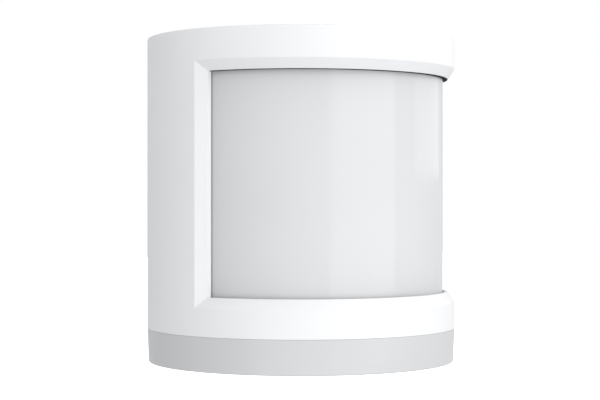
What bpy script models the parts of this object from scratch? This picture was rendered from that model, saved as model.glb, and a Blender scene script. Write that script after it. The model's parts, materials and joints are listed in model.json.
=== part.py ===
"""Indoor motion sensor: an upright cylinder with a flat back, a curved milky lens and a grey base cap.

The front faces -Y and +Z is up. The origin is on the cylinder's axis, on the bottom face. Metres.
"""

import math

import bmesh
import bpy
from mathutils import Matrix

# ---- Driving dimensions ----

# Casing
BODY_RADIUS = 0.0360
BODY_HEIGHT = 0.0750
BACK_FLAT = 0.0175  # from the cylinder's axis to the flat back
WALL = 0.0024
SEAM_HEIGHT = 0.0079  # joint between the base cap and the housing
EDGE_ROUND = 0.0004
CAP_TAPER = 0.0003  # how much narrower the base cap is at its bottom
CLEARANCE = 0.0003  # between pieces that seat on each other
ARC_STEP = math.radians(3)
ROUND_SIDES = 24  # flats round a small turned piece

# Window in the housing, with a bevel all round that slopes in to the lens
WINDOW_HALF_ANGLE = math.radians(70)
WINDOW_BELOW_TOP = 0.0093
WINDOW_ABOVE_SEAM = 0.0084
BEVEL_RIM = 0.0023
BEVEL_SIDE = 0.0026
BEVEL_DEPTH = 0.00155

# Lens and what holds it
LENS_THICKNESS = 0.0010
LENS_OVERLAP = 0.0020
GASKET_THICKNESS = 0.0008
CHASSIS_WALL = 0.0015
CHASSIS_POST_RADIUS = 0.0024
CHASSIS_POST_LENGTH = 0.0087
CHASSIS_RIB = 0.0020

# Circuit board, whose front face lies on the cylinder's axis
BOARD_THICKNESS = 0.0016
BOARD_BELOW_TOP = 0.0080
BOARD_HOLE_FROM_SIDE = 0.0030
BOARD_HOLE_FROM_END = 0.0090

# Battery and its tray
CELL_RADIUS = 0.0085
CELL_LENGTH = 0.0345
CELL_SIDES = 32
CELL_BEHIND_AXIS = -0.0030
CELL_NUB_RADIUS = 0.0032
CELL_NUB_HEIGHT = 0.0010
CAP_RIB = 0.0006  # ribs on the base cap's floor, under the cell
CONTACT_ROOM = 0.0020  # from the cell's end to the back of its contact
CONTACT_THICKNESS = 0.0004
CONTACT_HALF_WIDTH = 0.0045
CONTACT_DIMPLE_RADIUS = 0.0040
CONTACT_TAIL_WIDTH = 0.0020
CONTACT_TAIL_HEIGHT = 0.0050
TRAY_PLATE = 0.0016
TRAY_WALL = 0.0014
TRAY_EAR_WIDTH = 0.0050
TRAY_EAR_FROM_WALL = 0.0041

# Base cap
LIP_THICKNESS = 0.0015
LIP_HEIGHT = 0.0043
LIP_HALF_ANGLE = math.radians(64)

# Screws
SCREW_RADIUS = 0.0010
SCREW_HEAD_RADIUS = 0.0019
SCREW_HEAD_HEIGHT = 0.0013
SCREW_SLOT = 0.0005
SCREW_SLOT_LENGTH = 0.0026
SCREW_SIDES = 16
BOSS_RADIUS = 0.0028
TOP_BOSS_OFFSET = 0.0180
TOP_BOSS_BELOW_TOP = 0.0046
LOW_BOSS_FROM_COVER_EDGE = 0.0037
LOW_BOSS_ABOVE_SEAM = 0.0038

# Wall bracket
BRACKET_THICKNESS = 0.0024
BRACKET_HALF_WIDTH = 0.0260
BRACKET_BELOW_TOP = 0.0050
BRACKET_CORNER = 0.0060
BRACKET_POCKET_DEPTH = 0.0008
BRACKET_BORDER = 0.0040
BRACKET_CENTRE_STRIP = 0.0060
WALL_SCREW_RADIUS = 0.0021
WALL_SCREW_HEAD_RADIUS = 0.0040
WALL_SCREW_DISH = 0.0008
HOOK_OFFSET = 0.0140
HOOK_HALF_WIDTH = 0.0026
HOOK_STUB = 0.0025
HOOK_TAB = 0.0050
HOOK_TAB_THICKNESS = 0.0018
LOW_HOOK_ABOVE_TRAY = 0.0098
HIGH_HOOK_BELOW_TOP = 0.0170
LIFT = 0.0080  # how far the detector lifts to come off the hooks

# Tamper switch and its plunger
TAMPER_TRAVEL = 0.0010
PLUNGER_RADIUS = 0.0015
PLUNGER_COLLAR_RADIUS = 0.0024
PLUNGER_COLLAR = 0.0010
GUIDE_HALF_WIDTH = 0.0040
TAMPER_SWITCH_HALF_WIDTH = 0.0030
TAMPER_SWITCH_DEPTH = 0.0035
STEM_RADIUS = 0.0008
STEM_OUT = 0.0009  # how far a switch's stem stands out of its body
STEM_IN = 0.0014

# Pairing switch and its button
PAIRING_TRAVEL = 0.0007
PAIRING_BUTTON_RADIUS = 0.0017
PAIRING_FOOT_RADIUS = 0.0025
PAIRING_FOOT_HEIGHT = 0.0015
PAIRING_FOOT_ABOVE_FLOOR = 0.0036
PAIRING_SWITCH_HALF_WIDTH = 0.0022
PAIRING_SWITCH_DEPTH = 0.0036
PAIRING_SWITCH_HEIGHT = 0.0040

# Electronics
PYRO_RADIUS = 0.0046
PYRO_HEIGHT = 0.0045
PYRO_HOLDER_RADIUS = 0.0056
PYRO_HOLDER_HEIGHT = 0.0020
FILTER_WIDTH = 0.0040
FILTER_HEIGHT = 0.0030
FILTER_THICKNESS = 0.0005
CHIP_WIDTH = 0.0070
CHIP_THICKNESS = 0.0012
SHIELD_WIDTH = 0.0160
SHIELD_HEIGHT = 0.0120
SHIELD_DEPTH = 0.0025
CRYSTAL_WIDTH = 0.0050
CRYSTAL_HEIGHT = 0.0032
CAPACITOR_RADIUS = 0.0031
CAPACITOR_LENGTH = 0.0058
LED_RADIUS = 0.0015
LED_HEIGHT = 0.0040
ANTENNA_LENGTH = 0.0160
ANTENNA_HEIGHT = 0.0030
ANTENNA_WIDTH = 0.0015
ANTENNA_THICKNESS = 0.0006

# ---- Worked out from them ----

INNER_RADIUS = BODY_RADIUS - WALL
TOP_INSIDE = BODY_HEIGHT - WALL
HOUSING_BOTTOM = SEAM_HEIGHT + CLEARANCE / 2
CAP_TOP = SEAM_HEIGHT - CLEARANCE / 2
COVER_FRONT = BACK_FLAT - WALL
WINDOW_LOW = SEAM_HEIGHT + WINDOW_ABOVE_SEAM
WINDOW_HIGH = BODY_HEIGHT - WINDOW_BELOW_TOP
WINDOW_MIDDLE = (WINDOW_LOW + WINDOW_HIGH) / 2
WINDOW_QUARTER = (WINDOW_HIGH - WINDOW_LOW) / 4

LENS_RADIUS = INNER_RADIUS - CLEARANCE
LENS_BACK = LENS_RADIUS - LENS_THICKNESS
GASKET_RADIUS = LENS_BACK - CLEARANCE
GASKET_BACK = GASKET_RADIUS - GASKET_THICKNESS
CHASSIS_RADIUS = GASKET_BACK - CLEARANCE
CHASSIS_BACK = CHASSIS_RADIUS - CHASSIS_WALL
FRAME_HALF_ANGLE = WINDOW_HALF_ANGLE + LENS_OVERLAP / LENS_RADIUS
FRAME_LOW = WINDOW_LOW - LENS_OVERLAP
FRAME_HIGH = WINDOW_HIGH + LENS_OVERLAP

CELL_Z = WALL + CAP_RIB + CLEARANCE + CELL_RADIUS
CONTACT_BACK = CELL_LENGTH / 2 + CONTACT_ROOM
TRAY_RADIUS = CHASSIS_BACK - CLEARANCE
TRAY_LOW = CELL_Z + CELL_RADIUS + CLEARANCE
TRAY_HIGH = TRAY_LOW + TRAY_PLATE
TRAY_END = CONTACT_BACK + CLEARANCE + TRAY_WALL
TRAY_SIDE = CELL_RADIUS + CLEARANCE + TRAY_WALL
TRAY_SCREW_X = INNER_RADIUS - TRAY_EAR_FROM_WALL

CHASSIS_SIDE = CHASSIS_RADIUS * math.sin(FRAME_HALF_ANGLE)
BOARD_HALF_WIDTH = CHASSIS_SIDE - CHASSIS_WALL - CLEARANCE
BOARD_BACK = BOARD_THICKNESS
TRAY_EAR = (BOARD_BACK + CLEARANCE, BOARD_BACK + CLEARANCE + TRAY_EAR_WIDTH)
BOARD_LOW = TRAY_HIGH + 2 * CLEARANCE
BOARD_HIGH = BODY_HEIGHT - BOARD_BELOW_TOP
BOARD_HOLE_X = BOARD_HALF_WIDTH - BOARD_HOLE_FROM_SIDE
BOARD_HOLE_HEIGHTS = (BOARD_LOW + BOARD_HOLE_FROM_END, BOARD_HIGH - BOARD_HOLE_FROM_END)

BOSS_BACK = COVER_FRONT - CLEARANCE
BOSS_FRONT = CELL_BEHIND_AXIS + TRAY_SIDE + CLEARANCE
BOSS_HOLE_LENGTH = BOSS_BACK - BOSS_FRONT - SCREW_RADIUS
COVER_HALF_WIDTH = math.sqrt(INNER_RADIUS**2 - BACK_FLAT**2) - CLEARANCE
LOW_BOSS_OFFSET = COVER_HALF_WIDTH - LOW_BOSS_FROM_COVER_EDGE
COVER_SCREWS = (
    (-TOP_BOSS_OFFSET, BODY_HEIGHT - TOP_BOSS_BELOW_TOP),
    (TOP_BOSS_OFFSET, BODY_HEIGHT - TOP_BOSS_BELOW_TOP),
    (-LOW_BOSS_OFFSET, SEAM_HEIGHT + LOW_BOSS_ABOVE_SEAM),
    (LOW_BOSS_OFFSET, SEAM_HEIGHT + LOW_BOSS_ABOVE_SEAM),
)
BRACKET_FRONT = BACK_FLAT + CLEARANCE
BRACKET_BACK = BRACKET_FRONT + BRACKET_THICKNESS
HOOK_HEIGHTS = (TRAY_HIGH + LOW_HOOK_ABOVE_TRAY, BODY_HEIGHT - HIGH_HOOK_BELOW_TOP)

TAMPER_SWITCH_BACK = BOARD_BACK + CLEARANCE + TAMPER_SWITCH_DEPTH
PLUNGER_FRONT = TAMPER_SWITCH_BACK + STEM_OUT + CLEARANCE
GUIDE_FRONT = PLUNGER_FRONT + 2 * PLUNGER_COLLAR + TAMPER_TRAVEL + CLEARANCE
PAIRING_X = TRAY_END + CLEARANCE + PAIRING_FOOT_RADIUS
PAIRING_Y = -CLEARANCE - PAIRING_SWITCH_DEPTH / 2
PAIRING_BUTTON_TOP = TRAY_HIGH + 2 * CLEARANCE
PAIRING_SWITCH_LOW = PAIRING_BUTTON_TOP + CLEARANCE + STEM_OUT + PAIRING_TRAVEL
PAIRING_SWITCH_HIGH = PAIRING_SWITCH_LOW + PAIRING_SWITCH_HEIGHT


# ---- Building blocks ----


def clear_scene():
    for thing in list(bpy.data.objects):
        bpy.data.objects.remove(thing, do_unlink=True)


def finish(name, colour, roughness, metallic=0.0):
    """A plain Principled material."""
    made = bpy.data.materials.new(name)
    made.use_nodes = True
    shader = made.node_tree.nodes["Principled BSDF"]
    shader.inputs["Base Color"].default_value = (*colour, 1.0)
    shader.inputs["Roughness"].default_value = roughness
    shader.inputs["Metallic"].default_value = metallic
    made.diffuse_color = (*colour, 1.0)
    return made


def solid(name, points, faces, place=(0, 0, 0)):
    """One closed mesh object, faces pointing out, shaded smooth up to 30 degrees."""
    mesh = bpy.data.meshes.new(name)
    mesh.from_pydata(points, [], faces)
    work = bmesh.new()
    work.from_mesh(mesh)
    bmesh.ops.recalc_face_normals(work, faces=work.faces)
    work.to_mesh(mesh)
    work.free()
    mesh.shade_smooth()
    mesh.set_sharp_from_angle(angle=math.radians(30))
    made = bpy.data.objects.new(name, mesh)
    made.location = place
    bpy.context.collection.objects.link(made)
    return made


def lofted(name, rings, place=(0, 0, 0)):
    """A solid through rings of points that all have the same count, closed at both ends."""
    count = len(rings[0])
    points = [point for ring in rings for point in ring]
    faces = [tuple(range(count)), tuple(range(len(points) - count, len(points)))]
    for start in range(0, len(points) - count, count):
        for i in range(count):
            follow = (i + 1) % count
            faces.append((start + i, start + follow, start + count + follow, start + count + i))
    return solid(name, points, faces, place)


def box(name, x, y, z):
    """A box from three (lowest, highest) pairs, with its origin in its middle."""
    middle = [sum(pair) / 2 for pair in (x, y, z)]
    half_x, half_y, half_z = (abs(pair[1] - pair[0]) / 2 for pair in (x, y, z))
    corners = [(-half_x, -half_y), (half_x, -half_y), (half_x, half_y), (-half_x, half_y)]
    rings = [[(across, deep, height) for across, deep in corners] for height in (-half_z, half_z)]
    return lofted(name, rings, middle)


def turned(name, profile, place, axis="Z", sides=ROUND_SIDES):
    """A solid turned about an axis. The profile holds (radius, distance along the axis) from one end up."""
    turns = {"Z": Matrix(), "-Z": Matrix.Rotation(math.pi, 4, "X")}
    turns["Y"] = Matrix.Rotation(-math.pi / 2, 4, "X")
    turns["-Y"] = Matrix.Rotation(math.pi / 2, 4, "X")
    turns["X"] = Matrix.Rotation(math.pi / 2, 4, "Y")
    turns["-X"] = Matrix.Rotation(-math.pi / 2, 4, "Y")
    angles = [2 * math.pi * i / sides for i in range(sides)]
    rings = [
        [(radius * math.cos(a), radius * math.sin(a), along) for a in angles] for radius, along in profile
    ]
    made = lofted(name, rings)
    made.matrix_world = Matrix.Translation(place) @ turns[axis]
    return made


def on_arc(radius, angle, height):
    """A point at an angle from the front, turning towards +X."""
    return (radius * math.sin(angle), -radius * math.cos(angle), height)


def d_ring(radius, flat, height):
    """A circle cut straight at y = flat."""
    end = math.acos(-flat / radius)
    steps = 2 * round(math.acos(-BACK_FLAT / BODY_RADIUS) / ARC_STEP)
    return [on_arc(radius, end * (2 * i / steps - 1), height) for i in range(steps + 1)]


def d_solid(name, levels):
    """A D-shaped solid. Each level is (how far it is set in, height)."""
    return lofted(name, [d_ring(BODY_RADIUS - inset, BACK_FLAT - inset, height) for inset, height in levels])


def round_edge(size, base, direction):
    """Levels that round an edge off, from the full outline to the flat end."""
    turns = [math.radians(angle) for angle in (0, 30, 60, 90)]
    return [(size * (1 - math.cos(a)), base + direction * size * math.sin(a)) for a in turns]


def drum(name, radius, low, high):
    """A full cylinder about the body's axis."""
    steps = round(2 * math.pi / ARC_STEP)
    return turned(name, [(radius, low), (radius, high)], (0, 0, 0), sides=steps)


def curved_block(name, stations):
    """A block bent round the body's axis. Each station is (radius, half angle, lowest z, highest z)."""
    steps = math.ceil(2 * stations[0][1] / ARC_STEP)
    points = []
    for radius, half_angle, low, high in stations:
        for i in range(steps + 1):
            angle = half_angle * (2 * i / steps - 1)
            points += [on_arc(radius, angle, low), on_arc(radius, angle, high)]
    row = 2 * (steps + 1)
    last = row * (len(stations) - 1)
    faces = []
    for i in range(0, row - 2, 2):
        faces.append((i, i + 1, i + 3, i + 2))
        faces.append((last + i, last + i + 2, last + i + 3, last + i + 1))
    for start in range(0, last, row):
        for i in range(0, row - 2, 2):
            a, b = start + i, start + row + i
            faces.append((a, a + 2, b + 2, b))
            faces.append((a + 1, b + 1, b + 3, a + 3))
        for i in (0, row - 2):
            a, b = start + i, start + row + i
            faces.append((a, b, b + 1, a + 1))
    return solid(name, points, faces)


def swept(name, profile, half_angle):
    """A closed outline of (radius, height) points, swept round the body's axis to both sides of the front."""
    steps = math.ceil(2 * half_angle / ARC_STEP)
    angles = [half_angle * (2 * i / steps - 1) for i in range(steps + 1)]
    return lofted(name, [[on_arc(radius, angle, height) for radius, height in profile] for angle in angles])


def shape_with(target, operation, helpers):
    """Boolean modifiers on the target; the helpers stay as hidden wire shapes."""
    for helper in helpers:
        step = target.modifiers.new(helper.name, "BOOLEAN")
        step.operation = operation
        step.object = helper
        step.solver = "EXACT"
        helper.hide_render = True
        helper.display_type = "WIRE"
    return target


def cut(target, *helpers):
    return shape_with(target, "DIFFERENCE", helpers)


def add(target, *helpers):
    return shape_with(target, "UNION", helpers)


def trim(target, *helpers):
    return shape_with(target, "INTERSECT", helpers)


def dress(made, material, parent=None):
    """The piece's material, and the empty that it moves with."""
    made.data.materials.append(material)
    if parent:
        made.parent = parent
        made.matrix_parent_inverse = parent.matrix_world.inverted()
    return made


def carrier(name, place, parent=None):
    """An empty on a slide's axis, which carries the pieces that move together."""
    made = bpy.data.objects.new(name, None)
    made.location = place
    bpy.context.collection.objects.link(made)
    if parent:
        made.parent = parent
        made.location = [place[i] - parent.location[i] for i in range(3)]
    bpy.context.view_layer.update()
    return made


def both(low, high):
    """The same span on the left and on the right."""
    return ((-1, (-high, -low)), (1, (low, high)))


# ---- Casing ----


def window_cutter(name):
    """The window's opening, which widens outwards through the bevel and past the outer face."""
    past = 1 + CLEARANCE / BEVEL_DEPTH
    outer_angle = WINDOW_HALF_ANGLE + past * BEVEL_SIDE / BODY_RADIUS
    rim = past * BEVEL_RIM
    return curved_block(
        name,
        [
            (LENS_BACK, WINDOW_HALF_ANGLE, WINDOW_LOW, WINDOW_HIGH),
            (BODY_RADIUS - BEVEL_DEPTH, WINDOW_HALF_ANGLE, WINDOW_LOW, WINDOW_HIGH),
            (BODY_RADIUS + CLEARANCE, outer_angle, WINDOW_LOW - rim, WINDOW_HIGH + rim),
        ],
    )


def cover_boss(name, side, centre_x, height):
    """A screw boss for the rear cover, with a rib to the nearest wall."""
    boss = turned(
        name,
        [(BOSS_RADIUS, BOSS_FRONT), (BOSS_RADIUS, BOSS_BACK)],
        (centre_x, 0, height),
        axis="Y",
        sides=SCREW_SIDES,
    )
    depth = (BOSS_FRONT, BOSS_BACK)
    if height > WINDOW_MIDDLE:
        width = (centre_x - BOSS_RADIUS, centre_x + BOSS_RADIUS)
        rib = box(name + "_rib", width, depth, (height, BODY_HEIGHT - WALL / 2))
    else:
        width = sorted((centre_x, side * BODY_RADIUS))
        rib = box(name + "_rib", width, depth, (height - BOSS_RADIUS / 2, height + BOSS_RADIUS / 2))
        trim(rib, drum(name + "_rib_limit", BODY_RADIUS - WALL / 2, 0, BODY_HEIGHT))
    return add(boss, rib)


def screw_hole(name, place, axis, length):
    radius = SCREW_RADIUS + CLEARANCE
    return turned(name, [(radius, 0), (radius, length)], place, axis=axis, sides=SCREW_SIDES)


def make_front_housing(white, detector):
    """The shell: cylinder wall and flat top in one, open at the bottom and at the back."""
    levels = [(0, HOUSING_BOTTOM)] + round_edge(EDGE_ROUND, BODY_HEIGHT - EDGE_ROUND, 1)
    housing = d_solid("front_housing", levels)
    cut(housing, drum("housing_hollow", INNER_RADIUS, 0, TOP_INSIDE), window_cutter("housing_window"))
    for i, (x, height) in enumerate(COVER_SCREWS):
        add(housing, cover_boss(f"cover_boss_{i + 1}", math.copysign(1, x), x, height))
    for i, (x, height) in enumerate(COVER_SCREWS):
        place = (x, BOSS_BACK + CLEARANCE, height)
        cut(housing, screw_hole(f"cover_boss_hole_{i + 1}", place, "-Y", BOSS_HOLE_LENGTH))
    for side, span in both(TRAY_SCREW_X - BOSS_RADIUS, BODY_RADIUS):
        ledge = box(f"tray_ledge_{side}", span, TRAY_EAR, (WINDOW_LOW - EDGE_ROUND, TRAY_LOW - CLEARANCE))
        trim(ledge, drum(f"tray_ledge_limit_{side}", BODY_RADIUS - WALL / 2, 0, BODY_HEIGHT))
        add(housing, ledge)
        place = (side * TRAY_SCREW_X, sum(TRAY_EAR) / 2, TRAY_LOW)
        cut(housing, screw_hole(f"tray_ledge_hole_{side}", place, "-Z", BOSS_RADIUS))
    return dress(housing, white, detector)


def bent_plate(name, inner, outer):
    """A plate behind the whole window, bent round the body's axis between two radii."""
    profile = [(inner, FRAME_LOW), (outer, FRAME_LOW), (outer, FRAME_HIGH), (inner, FRAME_HIGH)]
    return swept(name, profile, FRAME_HALF_ANGLE)


def make_lens(milky, detector):
    """The curved window, held from behind."""
    return dress(bent_plate("lens", LENS_BACK, LENS_RADIUS), milky, detector)


def bent_frame(name, inner, outer):
    """A strip all round the window, bent like the lens, between two radii."""
    low, high = (inner - WALL, outer + WALL)
    profile = [(low, WINDOW_LOW), (high, WINDOW_LOW), (high, WINDOW_HIGH), (low, WINDOW_HIGH)]
    hole = swept(name + "_hole", profile, WINDOW_HALF_ANGLE)
    return cut(bent_plate(name, inner, outer), hole)


def make_lens_gasket(foam, detector):
    return dress(bent_frame("lens_gasket", GASKET_BACK, GASKET_RADIUS), foam, detector)


def make_chassis(grey, detector):
    """Presses the gasket and the lens home; its side plates and posts carry the board."""
    chassis = bent_frame("chassis", CHASSIS_BACK, CHASSIS_RADIUS)
    front = -CHASSIS_RADIUS * math.cos(FRAME_HALF_ANGLE)
    height = (PAIRING_SWITCH_HIGH + CLEARANCE, BOARD_HIGH)
    posts = (-CHASSIS_POST_LENGTH, -CLEARANCE)
    for side, span in both(CHASSIS_SIDE - CHASSIS_WALL, CHASSIS_SIDE):
        add(chassis, box(f"chassis_side_{side}", span, (front, BOARD_BACK), height))
        for i, post_height in enumerate(BOARD_HOLE_HEIGHTS):
            x = side * BOARD_HOLE_X
            name = f"chassis_post_{side}_{i}"
            profile = [(CHASSIS_POST_RADIUS, posts[0]), (CHASSIS_POST_RADIUS, posts[1])]
            post = turned(name, profile, (x, 0, post_height), axis="Y", sides=SCREW_SIDES)
            reach = sorted((x, side * (CHASSIS_SIDE - CHASSIS_WALL / 2)))
            rib_height = (post_height - CHASSIS_RIB / 2, post_height + CHASSIS_RIB / 2)
            rib = box(name + "_rib", reach, (posts[0], posts[1] - CHASSIS_RIB), rib_height)
            hole = screw_hole(name + "_hole", (x, 0, post_height), "-Y", CHASSIS_POST_LENGTH - CHASSIS_RIB)
            cut(add(chassis, rib, post), hole)
    return dress(chassis, grey, detector)


def make_rear_cover(white, detector):
    """The flat back: hook slots, recessed screws, the plunger's guide and two posts behind the board."""
    width = (-COVER_HALF_WIDTH, COVER_HALF_WIDTH)
    height = (HOUSING_BOTTOM, TOP_INSIDE - CLEARANCE)
    cover = box("rear_cover", width, (COVER_FRONT, BACK_FLAT), height)
    root = COVER_FRONT + WALL / 2
    span = (-GUIDE_HALF_WIDTH, GUIDE_HALF_WIDTH)
    guide_height = (WINDOW_MIDDLE - GUIDE_HALF_WIDTH, WINDOW_MIDDLE + GUIDE_HALF_WIDTH)
    add(cover, box("plunger_guide", span, (GUIDE_FRONT, root), guide_height))
    for i, post_height in enumerate(BOARD_HOLE_HEIGHTS):
        profile = [(CHASSIS_POST_RADIUS, BOARD_BACK + CLEARANCE), (CHASSIS_POST_RADIUS, root)]
        place = (0, 0, post_height)
        add(cover, turned(f"cover_post_{i}", profile, place, axis="Y", sides=SCREW_SIDES))
    bore = PLUNGER_RADIUS + CLEARANCE
    profile = [(bore, GUIDE_FRONT - WALL), (bore, BACK_FLAT + WALL)]
    cut(cover, turned("plunger_hole", profile, (0, 0, WINDOW_MIDDLE), axis="Y", sides=SCREW_SIDES))
    for i, (x, screw_height) in enumerate(COVER_SCREWS):
        name = f"cover_hole_{i + 1}"
        cut(cover, screw_hole(name, (x, BACK_FLAT + WALL, screw_height), "-Y", 3 * WALL))
        recess = SCREW_HEAD_RADIUS + CLEARANCE
        seat = BACK_FLAT - CLEARANCE - SCREW_HEAD_HEIGHT - CLEARANCE
        profile = [(recess, seat), (recess, BACK_FLAT + WALL)]
        cut(cover, turned(name + "_recess", profile, (x, 0, screw_height), axis="Y", sides=SCREW_SIDES))
    for i, hook in enumerate(HOOK_HEIGHTS):
        for side, span in both(HOOK_OFFSET - HOOK_HALF_WIDTH, HOOK_OFFSET + HOOK_HALF_WIDTH):
            wide = (span[0] - CLEARANCE, span[1] + CLEARANCE)
            deep = (COVER_FRONT - WALL, BACK_FLAT + WALL)
            tall = (hook - LIFT - CLEARANCE, hook + HOOK_STUB + CLEARANCE)
            cut(cover, box(f"hook_slot_{side}_{i}", wide, deep, tall))
    return dress(cover, white, detector)


def make_base_cap(grey, carried):
    """The grey cap under the battery bay, with a lip that snaps into the housing."""
    rounded = reversed(round_edge(EDGE_ROUND, EDGE_ROUND, -1))
    levels = [(CAP_TAPER + inset, height) for inset, height in rounded]
    cap = d_solid("base_cap", levels + [(0, CAP_TOP)])
    cut(cap, d_solid("cap_hollow", [(WALL, WALL), (WALL, CAP_TOP + WALL)]))
    inner = LENS_RADIUS - LIP_THICKNESS
    shoulder = CAP_TOP - LIP_THICKNESS
    lip_profile = [
        (inner, WALL / 2),
        (BODY_RADIUS - WALL / 2, WALL / 2),
        (BODY_RADIUS - WALL / 2, shoulder),
        (LENS_RADIUS, shoulder),
        (LENS_RADIUS, CAP_TOP + LIP_HEIGHT),
        (inner, CAP_TOP + LIP_HEIGHT),
    ]
    add(cap, swept("cap_lip", lip_profile, LIP_HALF_ANGLE))
    deep = (CELL_BEHIND_AXIS - CELL_RADIUS, CELL_BEHIND_AXIS + CELL_RADIUS)
    for side, span in both(CELL_LENGTH / 4, CELL_LENGTH / 4 + LIP_THICKNESS):
        add(cap, box(f"cap_rib_{side}", span, deep, (WALL / 2, WALL + CAP_RIB)))
    return dress(cap, grey, carried)


# ---- Wall bracket ----


def bracket_plate():
    """The plate, with its two upper corners rounded."""
    high = BODY_HEIGHT - BRACKET_BELOW_TOP
    outline = [(BRACKET_HALF_WIDTH, 0)]
    for quarter, side in ((0, 1), (90, -1)):
        for turn in (0, 22.5, 45, 67.5, 90):
            angle = math.radians(quarter + turn)
            x = side * (BRACKET_HALF_WIDTH - BRACKET_CORNER) + BRACKET_CORNER * math.cos(angle)
            outline.append((x, high - BRACKET_CORNER + BRACKET_CORNER * math.sin(angle)))
    outline.append((-BRACKET_HALF_WIDTH, 0))
    rings = [[(x, y, z) for x, z in outline] for y in (BRACKET_FRONT, BRACKET_BACK)]
    return lofted("wall_bracket", rings)


def plunger_groove():
    """A groove that deepens upwards, so that the plunger comes out as the detector lifts."""
    slope = TAMPER_TRAVEL / LIFT
    low = WINDOW_MIDDLE - PLUNGER_RADIUS
    high = WINDOW_MIDDLE + PLUNGER_RADIUS + LIFT + CLEARANCE
    front = BRACKET_FRONT - CLEARANCE
    corners = [
        (front, low - CLEARANCE / slope),
        (front, high),
        (BRACKET_FRONT + slope * (high - low), high),
    ]
    half = PLUNGER_RADIUS + CLEARANCE
    return lofted("plunger_groove", [[(x, y, z) for y, z in corners] for x in (-half, half)])


def make_wall_bracket(white):
    """Screwed to a wall: four hooks carry the detector, and the pockets save material at the back."""
    bracket = bracket_plate()
    high = BODY_HEIGHT - BRACKET_BELOW_TOP
    for side, span in both(BRACKET_CENTRE_STRIP, BRACKET_HALF_WIDTH - BRACKET_BORDER):
        deep = (BRACKET_BACK - BRACKET_POCKET_DEPTH, BRACKET_BACK + WALL)
        tall = (BRACKET_BORDER, high - BRACKET_CORNER)
        cut(bracket, box(f"bracket_pocket_{side}", span, deep, tall))
    tab = (COVER_FRONT - CLEARANCE - HOOK_TAB_THICKNESS, COVER_FRONT - CLEARANCE)
    for i, hook in enumerate(HOOK_HEIGHTS):
        for side, span in both(HOOK_OFFSET - HOOK_HALF_WIDTH, HOOK_OFFSET + HOOK_HALF_WIDTH):
            name = f"hook_{side}_{i}"
            root = BRACKET_FRONT + BRACKET_POCKET_DEPTH
            stub = box(name, span, (tab[0], root), (hook, hook + HOOK_STUB))
            rise = box(name + "_tab", span, tab, (hook + HOOK_STUB / 2, hook + HOOK_STUB + HOOK_TAB))
            add(bracket, add(stub, rise))
    cut(bracket, plunger_groove())
    places = [(0, WINDOW_HIGH - BRACKET_BORDER), (0, WINDOW_LOW)]
    places += [(side * HOOK_OFFSET, WINDOW_MIDDLE + WINDOW_QUARTER / 2) for side in (-1, 1)]
    for i, (x, height) in enumerate(places):
        name = f"wall_screw_hole_{i + 1}"
        profile = [
            (WALL_SCREW_HEAD_RADIUS + CLEARANCE, BRACKET_FRONT - CLEARANCE),
            (WALL_SCREW_RADIUS, BRACKET_FRONT + WALL_SCREW_DISH),
            (WALL_SCREW_RADIUS, BRACKET_BACK + WALL),
        ]
        cut(bracket, turned(name, profile, (x, 0, height), axis="Y"))
    return dress(bracket, white)


# ---- Battery ----


def make_battery(sleeve, detector):
    """A cylindrical lithium cell, lying across, positive end to the left."""
    half = CELL_LENGTH / 2
    shoulder = half - CELL_NUB_HEIGHT
    edge = EDGE_ROUND / 2
    profile = [
        (CELL_RADIUS - edge, -half),
        (CELL_RADIUS, -half + edge),
        (CELL_RADIUS, shoulder - edge),
        (CELL_RADIUS - edge, shoulder),
        (CELL_NUB_RADIUS, shoulder),
        (CELL_NUB_RADIUS, half),
    ]
    cell = turned("battery", profile, (0, CELL_BEHIND_AXIS, CELL_Z), axis="-X", sides=CELL_SIDES)
    return dress(cell, sleeve, detector)


def make_battery_tray(black, detector):
    """Holds the cell from above and at its ends; its ears are screwed to the housing's ledges."""
    plate = lofted(
        "battery_tray",
        [d_ring(TRAY_RADIUS, COVER_FRONT - CLEARANCE, height) for height in (TRAY_LOW, TRAY_HIGH)],
    )
    tall = (CELL_Z - CELL_RADIUS / 2, TRAY_LOW + TRAY_PLATE / 2)
    deep = (CELL_BEHIND_AXIS - TRAY_SIDE, CELL_BEHIND_AXIS + TRAY_SIDE)
    for side, span in both(TRAY_END - TRAY_WALL, TRAY_END):
        add(plate, box(f"tray_end_{side}", span, deep, tall))
    for side, span in both(TRAY_SIDE - TRAY_WALL, TRAY_SIDE):
        rail = [CELL_BEHIND_AXIS + edge for edge in span]
        add(plate, box(f"tray_rail_{side}", (-TRAY_END, TRAY_END), rail, tall))
    for side, span in both(TRAY_END, BODY_RADIUS):
        lug = box(f"tray_ear_{side}", span, TRAY_EAR, (TRAY_LOW, TRAY_HIGH))
        trim(lug, drum(f"tray_ear_limit_{side}", LENS_RADIUS, 0, BODY_HEIGHT))
        add(plate, lug)
        place = (side * TRAY_SCREW_X, sum(TRAY_EAR) / 2, TRAY_LOW - TRAY_PLATE)
        cut(plate, screw_hole(f"tray_hole_{side}", place, "Z", 3 * TRAY_PLATE))
    tail = (CONTACT_BACK - CONTACT_THICKNESS - CLEARANCE, CONTACT_BACK + CLEARANCE)
    tail_depth = (-2 * CLEARANCE - CONTACT_TAIL_WIDTH, 0)
    for side, span in both(*tail):
        slot_height = (TRAY_LOW - TRAY_PLATE, TRAY_HIGH + TRAY_PLATE)
        cut(plate, box(f"contact_slot_{side}", span, tail_depth, slot_height))
    bore = PAIRING_BUTTON_RADIUS + CLEARANCE
    profile = [(bore, TRAY_LOW - TRAY_PLATE), (bore, TRAY_HIGH + TRAY_PLATE)]
    cut(plate, turned("pairing_hole", profile, (PAIRING_X, PAIRING_Y, 0), sides=SCREW_SIDES))
    return dress(plate, black, detector)


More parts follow.
